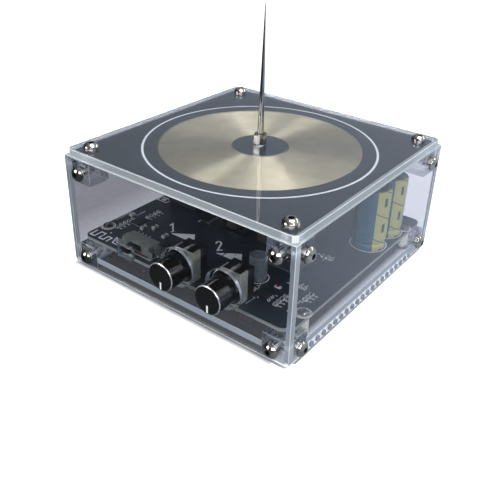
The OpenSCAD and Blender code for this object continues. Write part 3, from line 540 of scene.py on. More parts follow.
# Capacitors: rolled aluminium ends, shrunk sleeves that follow the can with a soft gloss, cast resin boxes
# and pale fired ceramic
can_top = plain("scored_aluminium_can", ("#8E9499", "#A9AFB3"), 1.0, 0.33, 0.01, 0.14, 1.0)
grey_sleeve = plain("grey_capacitor_sleeve", ("#5C6468", "#686F74"), 1.5, 0.22, IOR=1.54)
film_resin = plain("cast_resin_box", ("#24262A", "#2E3035"), 1.2, 0.35, IOR=1.55)
ceramic_tan = plain("ceramic_capacitor_body", ("#7C776D", "#8F8A80"), 0.3, 0.45, IOR=1.6)

# Small touches of colour: brown tape round a winding, a red lens lit from inside, a brown paper base
winding_tape = plain("polyester_winding_tape", ("#2A2622", "#37322C"), 1.5, 0.35, IOR=1.57)
red_lens = plain(
    "red_epoxy_lens", ("#8E2A20", "#A03A2E"), 0.5, 0.15, 0.004, IOR=1.5, Transmission_Weight=0.35
)
phenolic_base = plain("phenolic_laminate", ("#4A3020", "#5F422C"), 0.6, 0.5, IOR=1.55)


# ---- Case ----

for node, finish, bevel in (
    ("top_plate", acrylic_level, 0.3),
    ("floor_plate", acrylic_floor_painted_bright, 0.3),
    ("front_panel", acrylic_cross, 0.3),
    ("back_panel", acrylic_cross, 0.3),
    ("left_panel", acrylic_side, 0.3),
    ("right_panel", acrylic_side, 0.3),
    ("upper_corner_blocks", acrylic_block, 0.22),
    ("lower_corner_blocks", acrylic_block, 0.22),
):
    eased_copy(node, finish, "clear_acrylic", bevel, gap=0.03)


def thread_rows(length, r, pitch, sides, per_pitch=6):
    """Rings down a screw: radius = root + depth * |triangle wave| of height over pitch less angle.

    The thread starts with a cone at the tip, and its depth fades out there.
    """
    depth = 0.54 * pitch
    z = np.linspace(-length + 0.3, -0.02, int(length / pitch * per_pitch))[:, None]
    wave = np.abs(((z / pitch - np.arange(sides) / sides) % 1) * 2 - 1)
    return ring((r - 0.03) - depth * wave * np.clip((z + length) / 0.9, 0.35, 1), z, sides)


def dome_screw(length, **place):
    """A domed M3 screw standing through Z = 0, as one surface of rings from its tip to its socket's floor.

    The dome is an arc through the rim and the socket's edge, whose centre lies at height mid on the axis. The
    socket's ring radius is flat / cos(angle from the nearest flat), and its walls are the second material.
    """
    sides, shank, pitch = 48, 1.5, 0.5
    r, head_h, socket_r = 3.4, 2.2, 1.836
    a = np.arange(sides) / sides * TAU
    flat = 1.36 * math.cos(math.pi / 6)
    hexagon = flat / np.cos((a + math.pi / 6) % (math.pi / 3) - math.pi / 6)
    rim = 0.35 * head_h
    mid = (socket_r**2 + head_h**2 - r**2 - rim**2) / (2 * (head_h - rim))
    big = math.hypot(r, rim - mid)
    dome = [(math.sqrt(big**2 - (z - mid) ** 2), z) for z in np.linspace(rim, head_h, 7)]
    profile = [(shank, -0.01), (r - 0.15, 0.0), (r, 0.15), *dome, (socket_r - 0.06, head_h)]
    socket = ((1.06, head_h), (1.0, head_h - 0.08), (1.0, 0.45 * head_h), (0.5, 0.4 * head_h))
    rows = [ring(0.55 * shank, -length), *thread_rows(length, shank, pitch, sides)]
    rows += [ring(q, z) for q, z in profile] + [ring(k * hexagon, z) for k, z in socket]
    points, faces, _ = skin(np.array(rows), **place)
    walls = np.arange(len(rows) - 1) >= len(rows) - 3
    return points, faces, np.r_[np.repeat(walls, sides), False, True].astype(int)


def pan_screw(length, **place):
    """A small pan-headed M2.5 screw: the head's height over the polar grid is a dome less a cross.

    height = dome(r) - 0.8 * s(|x|) s(|y|), where s falls from 1 to 0 across the side of each arm.
    """
    sides, shank, pitch = 64, 1.25, 0.45
    r, head_h, big = 2.35, 1.7, 3.6
    a = np.arange(sides) / sides * TAU
    radii = np.linspace(r - 0.02, 0.12, 22)[:, None]
    x, y = radii * np.cos(a), radii * np.sin(a)
    arm = lambda u, half: 1 / (1 + np.exp((np.abs(u) - half) / 0.05))
    cross = np.maximum(arm(x, 0.32) * arm(y, 1.2), arm(y, 0.32) * arm(x, 1.2))
    top = ring(radii, head_h - big + np.sqrt(big**2 - radii**2) - 0.8 * cross, sides)
    side_z = head_h - big + math.sqrt(big**2 - r**2)
    side = [(shank, -0.01), (r - 0.1, 0.0), (r, 0.1), (r, side_z - 0.05)]
    rows = [ring(shank / 2, -length, sides), *thread_rows(length, shank, pitch, sides, 5)]
    return skin(np.array([*rows, *(ring(q, z, sides) for q, z in side), *top]), **place)


def panel_screws(side, x, y):
    """Four domed screws on one side of the case, at both levels. x or y is 0 where it runs along the side."""
    spots = [(x or s * BLOCK_C, y or s * BLOCK_C, z) for s in (-1, 1) for z in (LOWER_Z, UPPER_Z)]
    screws = [dome_screw(6.0, way=side, spin=17 * k, at=spot) for k, spot in enumerate(spots)]
    dressed(side + "_screws", screws, [black_nickel, hex_socket_painted_shade], "polished_steel")


panel_screws("front", 0, -OUTER)
panel_screws("back", 0, OUTER)
panel_screws("left", -OUTER, 0)
panel_screws("right", OUTER, 0)
spots = [(sx * BLOCK_C, sy * BLOCK_C, LID_TOP) for sx, sy in CORNERS]
tops = [dome_screw(7.6, spin=23 * k, at=spot) for k, spot in enumerate(spots)]
dressed("top_screws", tops, [black_nickel, hex_socket_painted_shade], "polished_steel")
for node, length, way, z, step in (
    ("board_screws", 4.4, "up", BOARD_TOP, 31),
    ("floor_screws", 5.8, "down", FLOOR_Z, 37),
):
    screws = [pan_screw(length, way=way, spin=step * k, at=(x, y, z)) for k, (x, y) in enumerate(STANDS)]
    dressed(node, screws, [bright_steel], "polished_steel")
eased_copy("board_standoffs", nylon, "nylon", 0.25)


# ---- Coil and needle ----


def spiral(loops, outer, inner, width, h, z):
    """One flat track wound inwards: its middle's radius falls evenly with the angle, and its sides lean."""
    per_loop = 96
    n = loops * per_loop + 1
    a = np.arange(n) / per_loop * TAU
    r = np.linspace(outer - width / 2, inner + width / 2, n)
    section = [(-width / 2, 0), (width / 2, 0), (width / 2 - 0.03, h), (-width / 2 + 0.03, h)]
    rows = [np.stack([(r + u) * np.cos(a), (r + u) * np.sin(a), np.full(n, z + v)], -1) for u, v in section]
    return skin(np.stack(rows, 1))


secondary = spiral(84, 46.6, 13.0, 0.31, 0.07, COIL_TOP - 0.34)
primary = spiral(3, 54.4, 47.4, 1.3, 0.28, COIL_Z - 0.29)
for coil, winding, finish, slot, smooth in (
    ("secondary", secondary, gold_plating, "plated_track", 60),
    ("primary", primary, bare_track, "bare_copper", 30),
):
    piece(coil + "_winding", [winding], [finish], stands_for=(coil + "_coil",), slot=slot, smooth=smooth)

# The needle: a straight foot, then a cone that thins evenly to a blunted point
NEEDLE_R, POINT_R, STRAIGHT_Z, TAPER_L = 1.5, 0.15, 64.4, 56.45
profile = [(1.35, 62.36), (NEEDLE_R, 62.5), (NEEDLE_R, STRAIGHT_Z)]
profile += [(NEEDLE_R + (POINT_R - NEEDLE_R) * t, STRAIGHT_Z + TAPER_L * t) for t in np.linspace(0.02, 1, 24)]
needle = [lathe(profile + [(0.08, 120.98)], 32)]
piece("needle_shown", needle, [drawn_needle], stands_for=("discharge_needle",), slot="polished_steel")


def hex_nut():
    """A hexagonal nut with turned bevels: ring radius is the lesser of the hexagon's and the bevel cone's."""
    sides = 72
    hexagon = 2.8 / np.cos(np.arange(sides) / sides * TAU % (math.pi / 3) - math.pi / 6)
    outside = ((0, 2.75), (0.35, 3.3), (0.36, 9), (4.3, 9), (4.32, 3.3), (4.8, 2.75))
    bore = ((4.8, 1.75), (4.6, 1.56), (0.2, 1.56), (0, 1.75))
    rows = [ring(np.minimum(hexagon, cone), LID_TOP + z, sides) for z, cone in outside]
    rows += [ring(r, LID_TOP + z, sides) for z, r in bore]
    return skin(np.array(rows), loop=True)


dressed("needle_nut", [hex_nut()], [bright_steel], "polished_steel", smooth=25)


# ---- Print, copper and solder of the driver board ----


def joint(x, y, r=0.85, h=0.75, z=BOARD_TOP, way="up"):
    """Solder round a pin: a cone whose radius falls as the square of its height, and a rounded tip."""
    cone = [(r * (0.42 + 0.58 * (1 - t) ** 2), h * t) for t in np.linspace(0, 1, 6)]
    profile = [(r, -0.02), *cone, (0.3 * r, h * 1.08), (0.1 * r, h * 1.12)]
    return lathe(profile, 14, at=(x, y, z), way=way, material=TIN)


def digit(path, foot):
    """A figure drawn as one stroke: path points are (across, up) from its foot, and it leans to the left."""
    u = np.array((-0.69, 0.72)) / math.hypot(-0.69, 0.72)
    p = np.array(path, float)
    return ribbon(np.array(foot) + p[:, :1] * [u[1], -u[0]] + p[:, 1:] * u, 0.75)


def triangle(*corners):
    """A flat three-cornered patch of ink: the outline twice, 0.03 mm apart."""
    return skin(np.stack([np.column_stack([np.array(corners, float), np.full(3, z)]) for z in (0, 0.03)]))


def box_line(x0, y0, x1, y1, width=0.25):
    """A rectangle in ink."""
    return ribbon([(x0, y0), (x1, y0), (x1, y1), (x0, y1)], width, closed=True)


def dash(x, y, dx, dy, width, **how):
    """A short stroke through (x, y), from (-dx, -dy) to (dx, dy) beside it."""
    return ribbon([(x - dx, y - dy), (x + dx, y + dy)], width, **how)


def on_board(shapes):
    """Flat shapes raised to the board's upper face."""
    return [(points + on(0, 0), faces, material) for points, faces, material in shapes]


TIN, TRACK, HOLE = 1, 2, 3  # places in the list below. White ink has place 0
INK = [white_ink, tin, mask_track, black_moulding]
SMALL_PARTS = (
    [(-50.6, -43 + 2.6 * i, 0) for i in range(5)]
    + [(-46.2, -27 + 2.6 * i, 0) for i in range(4)]
    + [(-39.5 + 2.4 * i, -42, 90) for i in range(4)]
    + [(44.9, -46 + 2.4 * i, 0) for i in range(4)]
    + [(31.8, -44 + 2.6 * i, 90) for i in range(2)]
    + [(50.5, -37 + 2.4 * i, 0) for i in range(3)]
    + [(43.6 + 2.2 * i, -30.5, 90) for i in range(2)]
    + [(38 + 2.2 * i, -3.4, 90) for i in range(3)]
)
CERAMICS = [(-40.4, -35.6, 90), (-36.2, -32.0, 90), (-26.8, -35.1, 90)]
CHIPS = ((38.8, -44.3, 5, 4, 90), (-19.0, -41.2, 5, 4, 0), (-22.0, -8.0, 10, 8, 90))
random = np.random.default_rng(7)

# Printed marks: a wedge and a plain number behind each knob, outlines round the parts
ONE_FOOT, TWO_FOOT = (-27.2, -29.2), (0.8, -28.0)
TWO = [(-1.2, 6.2), (-1.0, 7.3), (-0.1, 8.0), (0.9, 7.4), (1.2, 6.2), (0.7, 4.6), (-1.1, 0.1), (1.3, 0.1)]
marks = [triangle((-27.2, -31.0), (-17.4, -24.4), (-12.3, -30.9))]
marks += [triangle((0.8, -30.9), (10.6, -24.0), (15.6, -30.9))]
marks += [digit([(-1.5, 6.2), (0, 8.0), (0, 0)], ONE_FOOT), digit([(-1.1, 0), (1.1, 0)], ONE_FOOT)]
marks += [digit(TWO, TWO_FOOT)]
marks += [circle(x, y, 8.5, 0.4) for x, y in BIG_CAPS] + [circle(*SMALL_CAP, 4.8, 0.35)]
marks += [circle(x, y, 3.5, 0.3) for x, y in STANDS]
marks += [box_line(-57.0, -9.4, -50.6, -5.6, 0.4), box_line(-54.8, -8.1, -53.0, -6.9, 0.4)]
marks += [box_line(-36.6, -54.6, -17.4, -45.6), box_line(-24.5, 47.2, -15.5, 57.0)]
marks += [box_line(-29, 8.6, 13, 34.6)]
marks += [ribbon([(-43.4, -50.0), (-41.7, -54.4), (-37.0, -54.6)], 0.5, closed=True)]
marks += [ribbon([(-42, -52.2), (-39.6, -53.4)], 0.35)]
for x, y in ((-48.8, -48.8), (-21.6, -38.6), (51.2, -46.3), (36.4, -46.4), (-24.6, -13.4)):
    marks.append(disc(x, y, 0.45, sides=12, z=0))
for x, y, spin in SMALL_PARTS:
    # Brackets at both sides of each part, and the short marks that number them
    for s in (-1, 1):
        marks.append(ribbon([around(x, y, dx, 0.85 * s, spin) for dx in (-0.9, 0.9)], 0.18))
    for k in range(3):
        px, py = around(x, y, 1.75 + 0.5 * k, random.uniform(-0.1, 0.1), spin)
        marks.append(dash(px, py, 0.12, 0.35, 0.2))
for x, y in (
    *((39.7, -29.8), (44.6, -30.3), (49.7, -39.1), (50.0, -34.3), (45.6, -40.7)),
    *((48.8, -40.6), (36.1, -2.8), (40.7, -1.8), (39.0, -6.0)),
):
    marks += [dash(x - 0.7 + 0.55 * k, y, 0.1, 0.45, 0.22) for k in range(4)]
for i in range(8):
    marks += [dash(-56.55, -37.8 + 1.3 * i, 0.45, 0, 0.3), dash(-52.15, -29.4 + 0.9 * i, 0.45, 0, 0.22)]

# Bare tinned copper: the meandering aerial, pads under parts, rings round the screws and through-holes
aerial = [(-55.6, -50.8), (-55.6, -55.5), (-52.8, -55.5), (-52.8, -50.8), (-49.9, -50.8), (-49.9, -55.3)]
aerial += [(-47.1, -55.3), (-47.1, -51.8), (-44.7, -51.8), (-44.7, -55.6)]
bare = [ribbon(aerial, 0.6, 0.04)]
bare += [circle(x, y, 2.75, 0.8, 0.04, material=TIN) for x, y in STANDS]
bare += [ribbon([(35.2, -53.0), (35.6, -47.2)], 0.5, 0.04, material=TIN)]
for x, y in (
    *((35.2, -47.5), (36.7, -45.6), (37.3, -43.1), (41.3, -45.6), (41.0, -42.7)),
    *((41.7, -40.8), (39.4, -45.9), (31.0, -48.2), (32.6, -48.3)),
):
    bare.append(dash(x, y, 0.55, 0, 0.7, h=0.05, material=TIN))
for parts, reach, wide in ((SMALL_PARTS, 1.15, 1.3), (CERAMICS, 1.8, 2.0)):
    for x, y, spin in parts:
        for s in (-1, 1):
            ends = [around(x, y, s * r, 0, spin) for r in (reach - 0.5, reach)]
            bare.append(ribbon(ends, wide, 0.04, material=TIN))

# Tracks under the mask, each with one diagonal turn, and the small plated holes that tie the layers
tracks = []
for (x0, y0), (x1, y1), width in (
    ((-17.2, -43.5), (-2.4, -44.6), 0.5),
    ((-17.2, -41.0), (22.0, -41.5), 0.5),
    ((-26.8, -33.0), (-21.0, -13.5), 0.6),
    ((-35.0, -44.8), (-37.4, -42.8), 0.5),
    ((4.6, -44.0), (14.0, -10.6), 0.6),
    ((29.2, -44.0), (31.8, -45.2), 0.5),
    ((38.6, -33.0), (47.9, 12.0), 1.6),
    ((-8.0, -38.0), (20.0, -38.6), 0.5),
    ((34.5, -25.0), (47.9, -12.0), 0.5),
    ((-46.0, -16.0), (-24.0, -3.2), 0.5),
    ((3.0, -6.0), (-3.0, 12.0), 0.8),
    ((-33.0, -20.0), (34.0, -19.0), 0.5),
    ((-30.0, -17.5), (30.0, -16.5), 0.5),
    ((24.0, 6.0), (38.0, 21.5), 2.4),
    ((-20.0, 40.0), (38.0, 44.0), 2.8),
):
    dx, dy = x1 - x0, y1 - y0
    k = min(abs(dx), abs(dy))
    bend = (x1 - math.copysign(k, dx), y0) if abs(dx) > abs(dy) else (x0, y1 - math.copysign(k, dy))
    tracks.append(ribbon([(x0, y0), bend, (x1, y1)], width, 0.035, material=TRACK))
for x, y in random.uniform((-55, -55), (55, 12), (150, 2)):
    beside_cans = all(abs(x - a) + abs(y - b) > 13 for a, b in (*BIG_CAPS, SMALL_CAP))
    under_switch = -38 < x < -14 and y < -44
    if beside_cans and not under_switch:
        tracks.append(circle(x, y, 0.26, 0.2, 0.04, 10, material=TRACK))
        tracks.append(disc(x, y, 0.17, 0.02, 8, 0, material=HOLE))
piece("driver_print", on_board(marks), INK[:1])
piece("driver_bare_copper", on_board(bare), INK[:2])
piece("driver_tracks", on_board(tracks), INK)

# Solder round every lead, above and below the board
leads = [(x + dx, POT_LEG_Y) for x in KNOB_X for dx in (-2.5, 0, 2.5)]
leads += [(SWITCH_X + dx, SWITCH_LEG_Y) for dx in (-4, 0, 4)]
above = leads + [(SWITCH_X + s * 10.1, EAR_Y) for s in (-1, 1)]
below = leads + [(x + s * 3.75, y) for x, y in BIG_CAPS for s in (-1, 1)]
below += [(SMALL_CAP[0] + s * 1.75, SMALL_CAP[1]) for s in (-1, 1)]
below += [(FILM_X + s * 7.5, y) for y in FILM_Y for s in (-1, 1)]
below += [(CHOKE[0] + s * 5, CHOKE[1]) for s in (-1, 1)]
below += [(GATE[0] + sx * 5, GATE[1] + sy * 4) for sx in (-1, 0, 1) for sy in (-1, 1)]
below += [(x + dx, 12) for x in TRANSISTOR_X for dx in (-5.45, 0, 5.45)]
below += [(-20, 50.5), (-20, 56.5), (-16.2, 53.5)]
below += [(x + s * 4.4, -56.4) for x in KNOB_X for s in (-1, 1)]
solder = [joint(x, y) for x, y in above] + [joint(x, y, 1.0, 1.0, BOARD_Z, "down") for x, y in below]
piece("solder_joints", solder, INK[:2], smooth=35)


# ---- Parts on the driver board ----


def gull_chip(x, y, l, legs, spin):
    """A moulded chip: an eased block and, at both sides, bent straps every 1.27 mm."""
    mark_x, mark_y = around(x, y, 0.8 - l / 2, -1.2, spin)
    shapes = [slab(l, 3.9, 1.3, 0.12, 0.12, 2, at=on(x, y, 0.2), spin=spin)]
    shapes.append(lathe([(0.35, 0), (0.35, 0.012), (0.3, 0.02)], 14, at=on(mark_x, mark_y, 1.5), material=2))
    for i in range(legs):
        u = (i - (legs - 1) / 2) * 1.27
        for s in (-1, 1):
            bends = ((1.9, 0.85), (2.2, 0.84), (2.32, 0.7), (2.42, 0.25), (2.55, 0.11), (2.98, 0.09))
            path = [(u, s * out, z) for out, z in bends]
            shapes.append(strap(path, (1, 0, 0), 0.42, 0.14, at=on(x, y), spin=spin, material=TIN))
    return shapes


def chip_part(x, y, spin, l):
    """A surface part: its glazed middle between two tinned ends that stand a little proud."""
    shapes = [slab(0.66 * l, 0.56 * l, 0.32 * l, 0.02, 0.03, 1, at=on(x, y, 0.03), spin=spin)]
    for s in (-1, 1):
        end = on(*around(x, y, s * 0.39 * l, 0, spin))
        shapes.append(slab(0.22 * l, 0.6 * l, 0.35 * l, 0.04, 0.05, 1, at=end, spin=spin, material=TIN))
    return shapes


CHIP_FINISHES = [epoxy_chip, tin, pin_mark_painted_glint, tinned_sheet]
dressed("driver_chips", sum((gull_chip(*c) for c in CHIPS), []), CHIP_FINISHES[:3], "black_moulding")
x, y = RADIO
radio = [slab(6, 6, 0.85, 0.1, 0.05, 2, at=on(x, y, 0.03))]
radio += [lathe([(0.3, 0), (0.3, 0.015), (0.25, 0.02)], 14, at=on(x - 2.2, y - 2.2, 0.88), material=2)]
for i in range(9):
    for s in (-1, 1):
        u, v = (i - 4) * 0.6, 2.95 * s
        radio += [slab(0.28, 0.5, 0.2, 0.02, 0.02, 1, at=on(x + u, y + v, 0.01), material=TIN)]
        radio += [slab(0.5, 0.28, 0.2, 0.02, 0.02, 1, at=on(x + v, y + u, 0.01), material=TIN)]
for w, d, h, r, edge, lift in ((2.5, 3.2, 0.3, 0.3, 0.05, 0.01), (2.2, 2.9, 0.76, 0.4, 0.15, 0.02)):
    radio.append(slab(w, d, h, r, edge, at=on(x - 7.95, y + 3.2, lift), material=3))
dressed("radio_chip", radio, CHIP_FINISHES, "black_moulding")
# Every third small part is a resistor and the rest are ceramic capacitors
ceramic = [(*c, 2.0) for n, c in enumerate(SMALL_PARTS) if n % 3] + [(*c, 3.2) for c in CERAMICS]
resistors = [(*c, 2.0) for c in SMALL_PARTS[::3]]
for name, parts, finish in (
    ("ceramic_parts_shown", ceramic, ceramic_tan),
    ("resistors_shown", resistors, resistor_black),
):
    shapes = sum((chip_part(*part) for part in parts), [])
    piece(name, shapes, [finish, tin], stands_for=("surface_parts",), slot="ceramic")


def can(x, y, d, l, neck, cuts):
    """A rolled capacitor in its sleeve: a turned profile, then its end as a height field less scored lines.

    The profile is a folded foot, a rolled neck, a straight wall and a folded rim.
    """
    t = np.linspace(-math.pi / 2, math.pi / 2, 9)
    foot = [(0.1, 0.25), (0.41 * d, 0.25), (0.42 * d, 0.0)] + arc(d / 2 - 0.3, 0.3, 0.3, -90, 0)
    dip = list(zip(d / 2 - 0.045 * d * np.cos(t) ** 2, neck + 0.075 * d * np.sin(t)))
    fold = arc(0.45 * d, l - 0.05 * d, 0.05 * d, 0, 90, 7)
    rim = fold + [(0.4 * d, l - 0.02), (0.3925 * d, l - 0.08), (0.39 * d, l - 0.4)]
    profile = foot + dip + rim
    sides, r = 72, 0.39 * d
    a = np.arange(sides) / sides * TAU
    rows = [ring(q, z, sides) for q, z in profile]
    cut = lambda u: 1 / (1 + np.exp(np.clip((np.abs(u) - 0.22) / 0.06, -40, 40)))
    groove = lambda u, v: cut(u) * (np.abs(v) < 0.72 * r)
    for q in np.linspace(0.985 * r, 0.08, 16):
        u, v = q * np.cos(a), q * np.sin(a)
        score = np.maximum(groove(u, v), groove(v, u)) if cuts == 2 else groove(u, v)
        rows.append(ring(q, l - 0.4 + 0.06 * (1 - (q / r) ** 2) - 0.16 * score, sides))
    # Materials by ring: 2 the rubber foot, 0 the sleeve, 1 the bare end
    tone = np.array([2, 2] + [0] * (len(profile) - 4) + [1] * (len(rows) - len(profile) + 1))
    points, faces, _ = skin(np.array(rows), at=on(x, y))
    return points, faces, np.r_[np.repeat(tone, sides), tone[0], tone[-1]]


for side, (x, y) in zip(("front", "back"), BIG_CAPS):
    finishes = [printed_sleeve(f"printed_sleeve_{side}", x, y, -18.0), can_top, rubber_bung]
    rolled = [can(x, y, 15.8, 29.8, 3.4, 2)]
    dressed(f"supply_capacitor_{side}", rolled, finishes, "capacitor_sleeve", smooth=40)
# The small can's aluminium end takes the sleeve's grey instead of metal: a painted reflection of the dark
# board above it
finishes = [grey_sleeve, grey_sleeve, rubber_bung]
dressed("small_capacitor", [can(*SMALL_CAP, 8.0, 11.5, 2.2, 1)], finishes, "dark_sleeve", smooth=40)


def knob(x):
    """A turned knob: bore, skirt and grip with cut bevels, and a dished face with an inlaid pointer."""
    profile = [(0.02, 9.3), (3.03, 9.3), (3.03, 0.1), (3.15, 0.0), (7.75, 0.0), (8.0, 0.25), (8.0, 0.95)]
    profile += [(7.62, 1.36), (7.4, 1.4), (6.8, 1.42), (6.56, 1.6), (6.5, 1.9), (6.46, 12.95), (6.46, 13.12)]
    profile += [(6.14, 13.46), (6.06, 13.5), (5.9, 13.5), (5.8, 13.42), (0.02, 13.38)]
    # Materials by ring: 0 the gloss, 1 the face, 2 the bevels with their painted highlight
    tone = [0] * 6 + [2] + [0] * 6 + [2] + [0] * 2 + [1] * 2
    sides = 96
    points, faces, _ = lathe(profile, sides, at=(x, KNOB_BACK, SHAFT_Z), way="front")
    foot = (x, KNOB_BACK - KNOB_L + 0.15, SHAFT_Z - 4.15)
    pointer = slab(0.8, 3.4, 0.15, 0.1, 0.03, 2, at=foot, way="front", material=3)
    return [(points, faces, np.r_[np.repeat(tone, sides), 0, 1]), pointer]


KNOB_FINISHES = [knob_gloss, knob_face, cut_bevel_painted_highlight, pointer_white]
COLLAR = [(3.12, 0), (4.3, 0), (4.3, 0.7), (4.15, 0.9), (3.3, 0.9), (3.12, 0.75)]
POT_LEG = [(-46.5, 19.2), (-45.4, 19.2), (-44.85, 19.0)] + [(POT_LEG_Y, z) for z in (18.5, 17.0, 14.2)]
for n, x in enumerate(KNOB_X, 1):
    dressed(f"knob_{n}", knob(x), KNOB_FINISHES, "black_gloss", body=f"knob_{n}", smooth=35)
    eased_copy(f"potentiometer_{n}_cover", tinned_sheet, "nickel_plate", 0.18)
    eased_copy(f"potentiometer_{n}_body", black_moulding, "black_moulding", 0.3)
    metal = [lathe(COLLAR, 40, at=(x, POT_FRONT + 0.02, SHAFT_Z), way="front", loop=True)]
    metal += [strap([(x + dx, *p) for p in POT_LEG], (1, 0, 0), 0.9, 0.3) for dx in (-2.5, 0, 2.5)]
    piece(f"potentiometer_{n}_collar_and_legs", metal, [tinned_sheet], slot="nickel_plate", smooth=35)

eased_copy("switch_cover", plated_sheet, "nickel_plate", 0.1, merged=False)
eased_copy("switch_base", phenolic_base, "paper_laminate", 0.1)
eased_copy("switch_lever", black_moulding, "black_moulding", 0.15, merged=False, body="switch_lever")
EAR = ((-0.2, 20.6), (1.0, 20.6), (1.5, 20.3), (1.7, 19.7), (1.7, 17), (1.7, 14.2))
ears = []
for s in (-1, 1):
    end = SWITCH_X + s * SWITCH_L / 2
    ears.append(strap([(end + s * out, EAR_Y, z) for out, z in EAR], (0, 1, 0), 3.0, 0.3))
    wing = [(end + s * out, SWITCH_FRONT - 0.1, 17.6) for out in (-0.3, 0.5, 1.5, 2.6)]
    ears.append(strap(wing, (0, 0, 1), 3.6, 0.3))
SWITCH_LEG = ((-46.6, 17.4), (-46.2, 17.3), (SWITCH_LEG_Y, 17.0), (SWITCH_LEG_Y, 14.2))
ears += [strap([(SWITCH_X + dx, *p) for p in SWITCH_LEG], (1, 0, 0), 0.9, 0.3) for dx in (-4, 0, 4)]
piece("switch_ears_and_legs", ears, [plated_sheet], slot="nickel_plate", smooth=35)
spots = [(LEVER_X + dx, -60.35, 18.55) for dx in (-1.1, 0, 1.1)]
ribs = [slab(0.5, 2.4, 0.25, 0.1, 0.08, 2, at=spot, way="front") for spot in spots]
piece("switch_lever_ribs", ribs, [black_moulding], body="switch_lever", slot="black_moulding", smooth=35)

# The indicator: a white ceramic foot, tinned ends and a low red lens
x, y = LED
lens = [slab(1.5, 1.2, 0.6, 0.4, 0.3, 4, at=on(x, y, 0.5))]
lens += [slab(3.1, 1.6, 0.5, 0.05, 0.04, 1, at=on(x, y, 0.01), material=2)]
lens += [slab(0.5, 1.62, 0.52, 0.05, 0.04, 1, at=on(x + 1.35 * s, y, 0.01), material=1) for s in (-1, 1)]
dressed("power_led", lens, [red_lens, tin, pointer_white], "red_lens", smooth=40)

# Boxed film capacitors with their resin fill below, each on two leads
films = []
lead = [(0.4, z) for z in (0.5, 0, -0.6, -1.5)]
for y in FILM_Y:
    films.append(slab(17.96, 7.96, 14.5, 0.5, 0.4, at=on(FILM_X, y, 0.48)))
    films.append(slab(16.6, 6.6, 0.4, 0.3, 0.05, 2, at=on(FILM_X, y, 0.1), material=1))
    films += [lathe(lead, 10, at=on(FILM_X + 7.5 * s, y), spin=18, material=2) for s in (-1, 1)]
dressed("film_capacitors", films, [film_resin, black_moulding, tin], "film_box", smooth=35)

# Choke: a square ferrite shield with a round drum end set in it, a ring of dark glue between
DRUM = [(4.75, 6.35), (4.75, 7.0), (4.6, 7.17), (4.2, 7.18), (4.1, 7.1), (0.05, 7.08)]
GLUE = [(5.4, 6.4), (5.4, 6.62), (5.2, 6.66), (4.76, 6.6)]
choke = [slab(12.46, 12.46, 6.45, 2.0, 0.25, 5, at=on(*CHOKE, 0.02))]
choke += [lathe(DRUM, 56, at=on(*CHOKE)), lathe(GLUE, 56, at=on(*CHOKE), material=1)]
dressed("filter_choke", choke, [ferrite, rubber_bung], "black_moulding", smooth=35)

# Gate transformer: a ferrite frame over a taped winding on a bobbin with rows of pins
x, y = GATE
core = [slab(15.96, 11.96, 1.15, 0.2, 0.12, 2, at=on(x, y, 0.02), material=1)]
core += [slab(13.9, 5.6, 8.2, 0.3, 0.2, 2, at=on(x, y, 1.75))]
core += [slab(3.2, 5.6, 8.3, 0.3, 0.2, 2, at=on(x + dx, y, 1.2)) for dx in (-5.2, 5.2)]
core += [slab(7.0, 9.9, 6.8, 2.6, 0.3, 6, at=on(x, y, 1.9), material=2)]
dressed("gate_transformer", core, [ferrite, black_moulding, winding_tape], "black_moulding", smooth=35)

eased_copy("heat_sink", anodised, "anodised", 0.2)
eased_copy("power_transistors", transistor_mix, "black_moulding", 0.15)
screws = [dome_screw(3.7, way="front", spin=21 * k, at=(x, 12.7, 33.1)) for k, x in enumerate(TRANSISTOR_X)]
dressed("transistor_screws", screws, [black_nickel, hex_socket_painted_shade], "polished_steel")
eased_copy("supply_socket", black_moulding, "black_moulding", 0.25)
eased_copy("feed_posts", turned_brass, "brass_post", 0.3)


# ---- Floor, lights and camera ----


def light(name, place, aim, size, watts):
    """A rectangular soft box at a place, turned to face a point."""
    lamp = bpy.data.lights.new(name, "AREA")
    lamp.shape, lamp.size, lamp.size_y, lamp.energy = "RECTANGLE", *size, watts
    obj = bpy.data.objects.new(name, lamp)
    obj.location = place
    obj.rotation_mode = "QUATERNION"
    obj.rotation_quaternion = (Vector(place) - Vector(aim)).to_track_quat("Z", "Y")
    bpy.context.scene.collection.objects.link(obj)


light("soft_box_above", (0.2, 0.0, 1.05), (0, 0, 0.05), (0.75, 0.75), 6.2)
light("soft_box_right", (0.62, -0.72, 0.5), (0, 0, 0.03), (0.8, 0.55), 4.8)
light("strip_right", (0.62, -0.15, 0.75), (0, 0, 0.03), (0.05, 0.7), 1.5)
light("strip_back", (0.35, 0.85, 0.6), (0, 0, 0.04), (0.9, 0.08), 1.6)
light("soft_box_left", (-0.5, -0.85, 0.5), (0, 0, 0.04), (0.5, 0.4), 4.6)


def seen_directly(tree):
    """1 on rays that come from the camera with no reflection and no scattering, also through clear sheet."""
    path = add(tree, "LightPath").outputs
    bounces = add(tree, "Math", path["Glossy Depth"], path["Diffuse Depth"], operation="ADD")
    return add(tree, "Math", bounces, 0.5, operation="LESS_THAN")


world = bpy.data.worlds.new("pale_studio")
world.use_nodes = True
sky = world.node_tree
sky.nodes.clear()
# Seen directly and straight through glass the studio is white. Reflections show its uneven walls, dim near
# the floor, brighter overhead and a little cool as north light is, so that polished edges stand out
direct = seen_directly(sky)
ray = add(sky, "TexCoord").outputs["Generated"]
side = add(sky, "VectorMath", ray, (0.36, 0.42, 0.6), operation="DOT_PRODUCT")
walls = add(sky, "MapRange", side, -0.12, 0.78, 0.04, 0.76)
mirrored = add(sky, "Math", add(sky, "LightPath").outputs["Glossy Depth"], 0.5, operation="GREATER_THAN")
level = add(sky, "Mix", direct, add(sky, "Mix", mirrored, 0.6, walls), 1.0)
tone = add(sky, "Mix", direct, linear("#E2EAF6"), (1, 1, 1, 1), data_type="RGBA")
add(sky, "OutputWorld", add(sky, "Background", tone, level))
bpy.context.scene.world = world


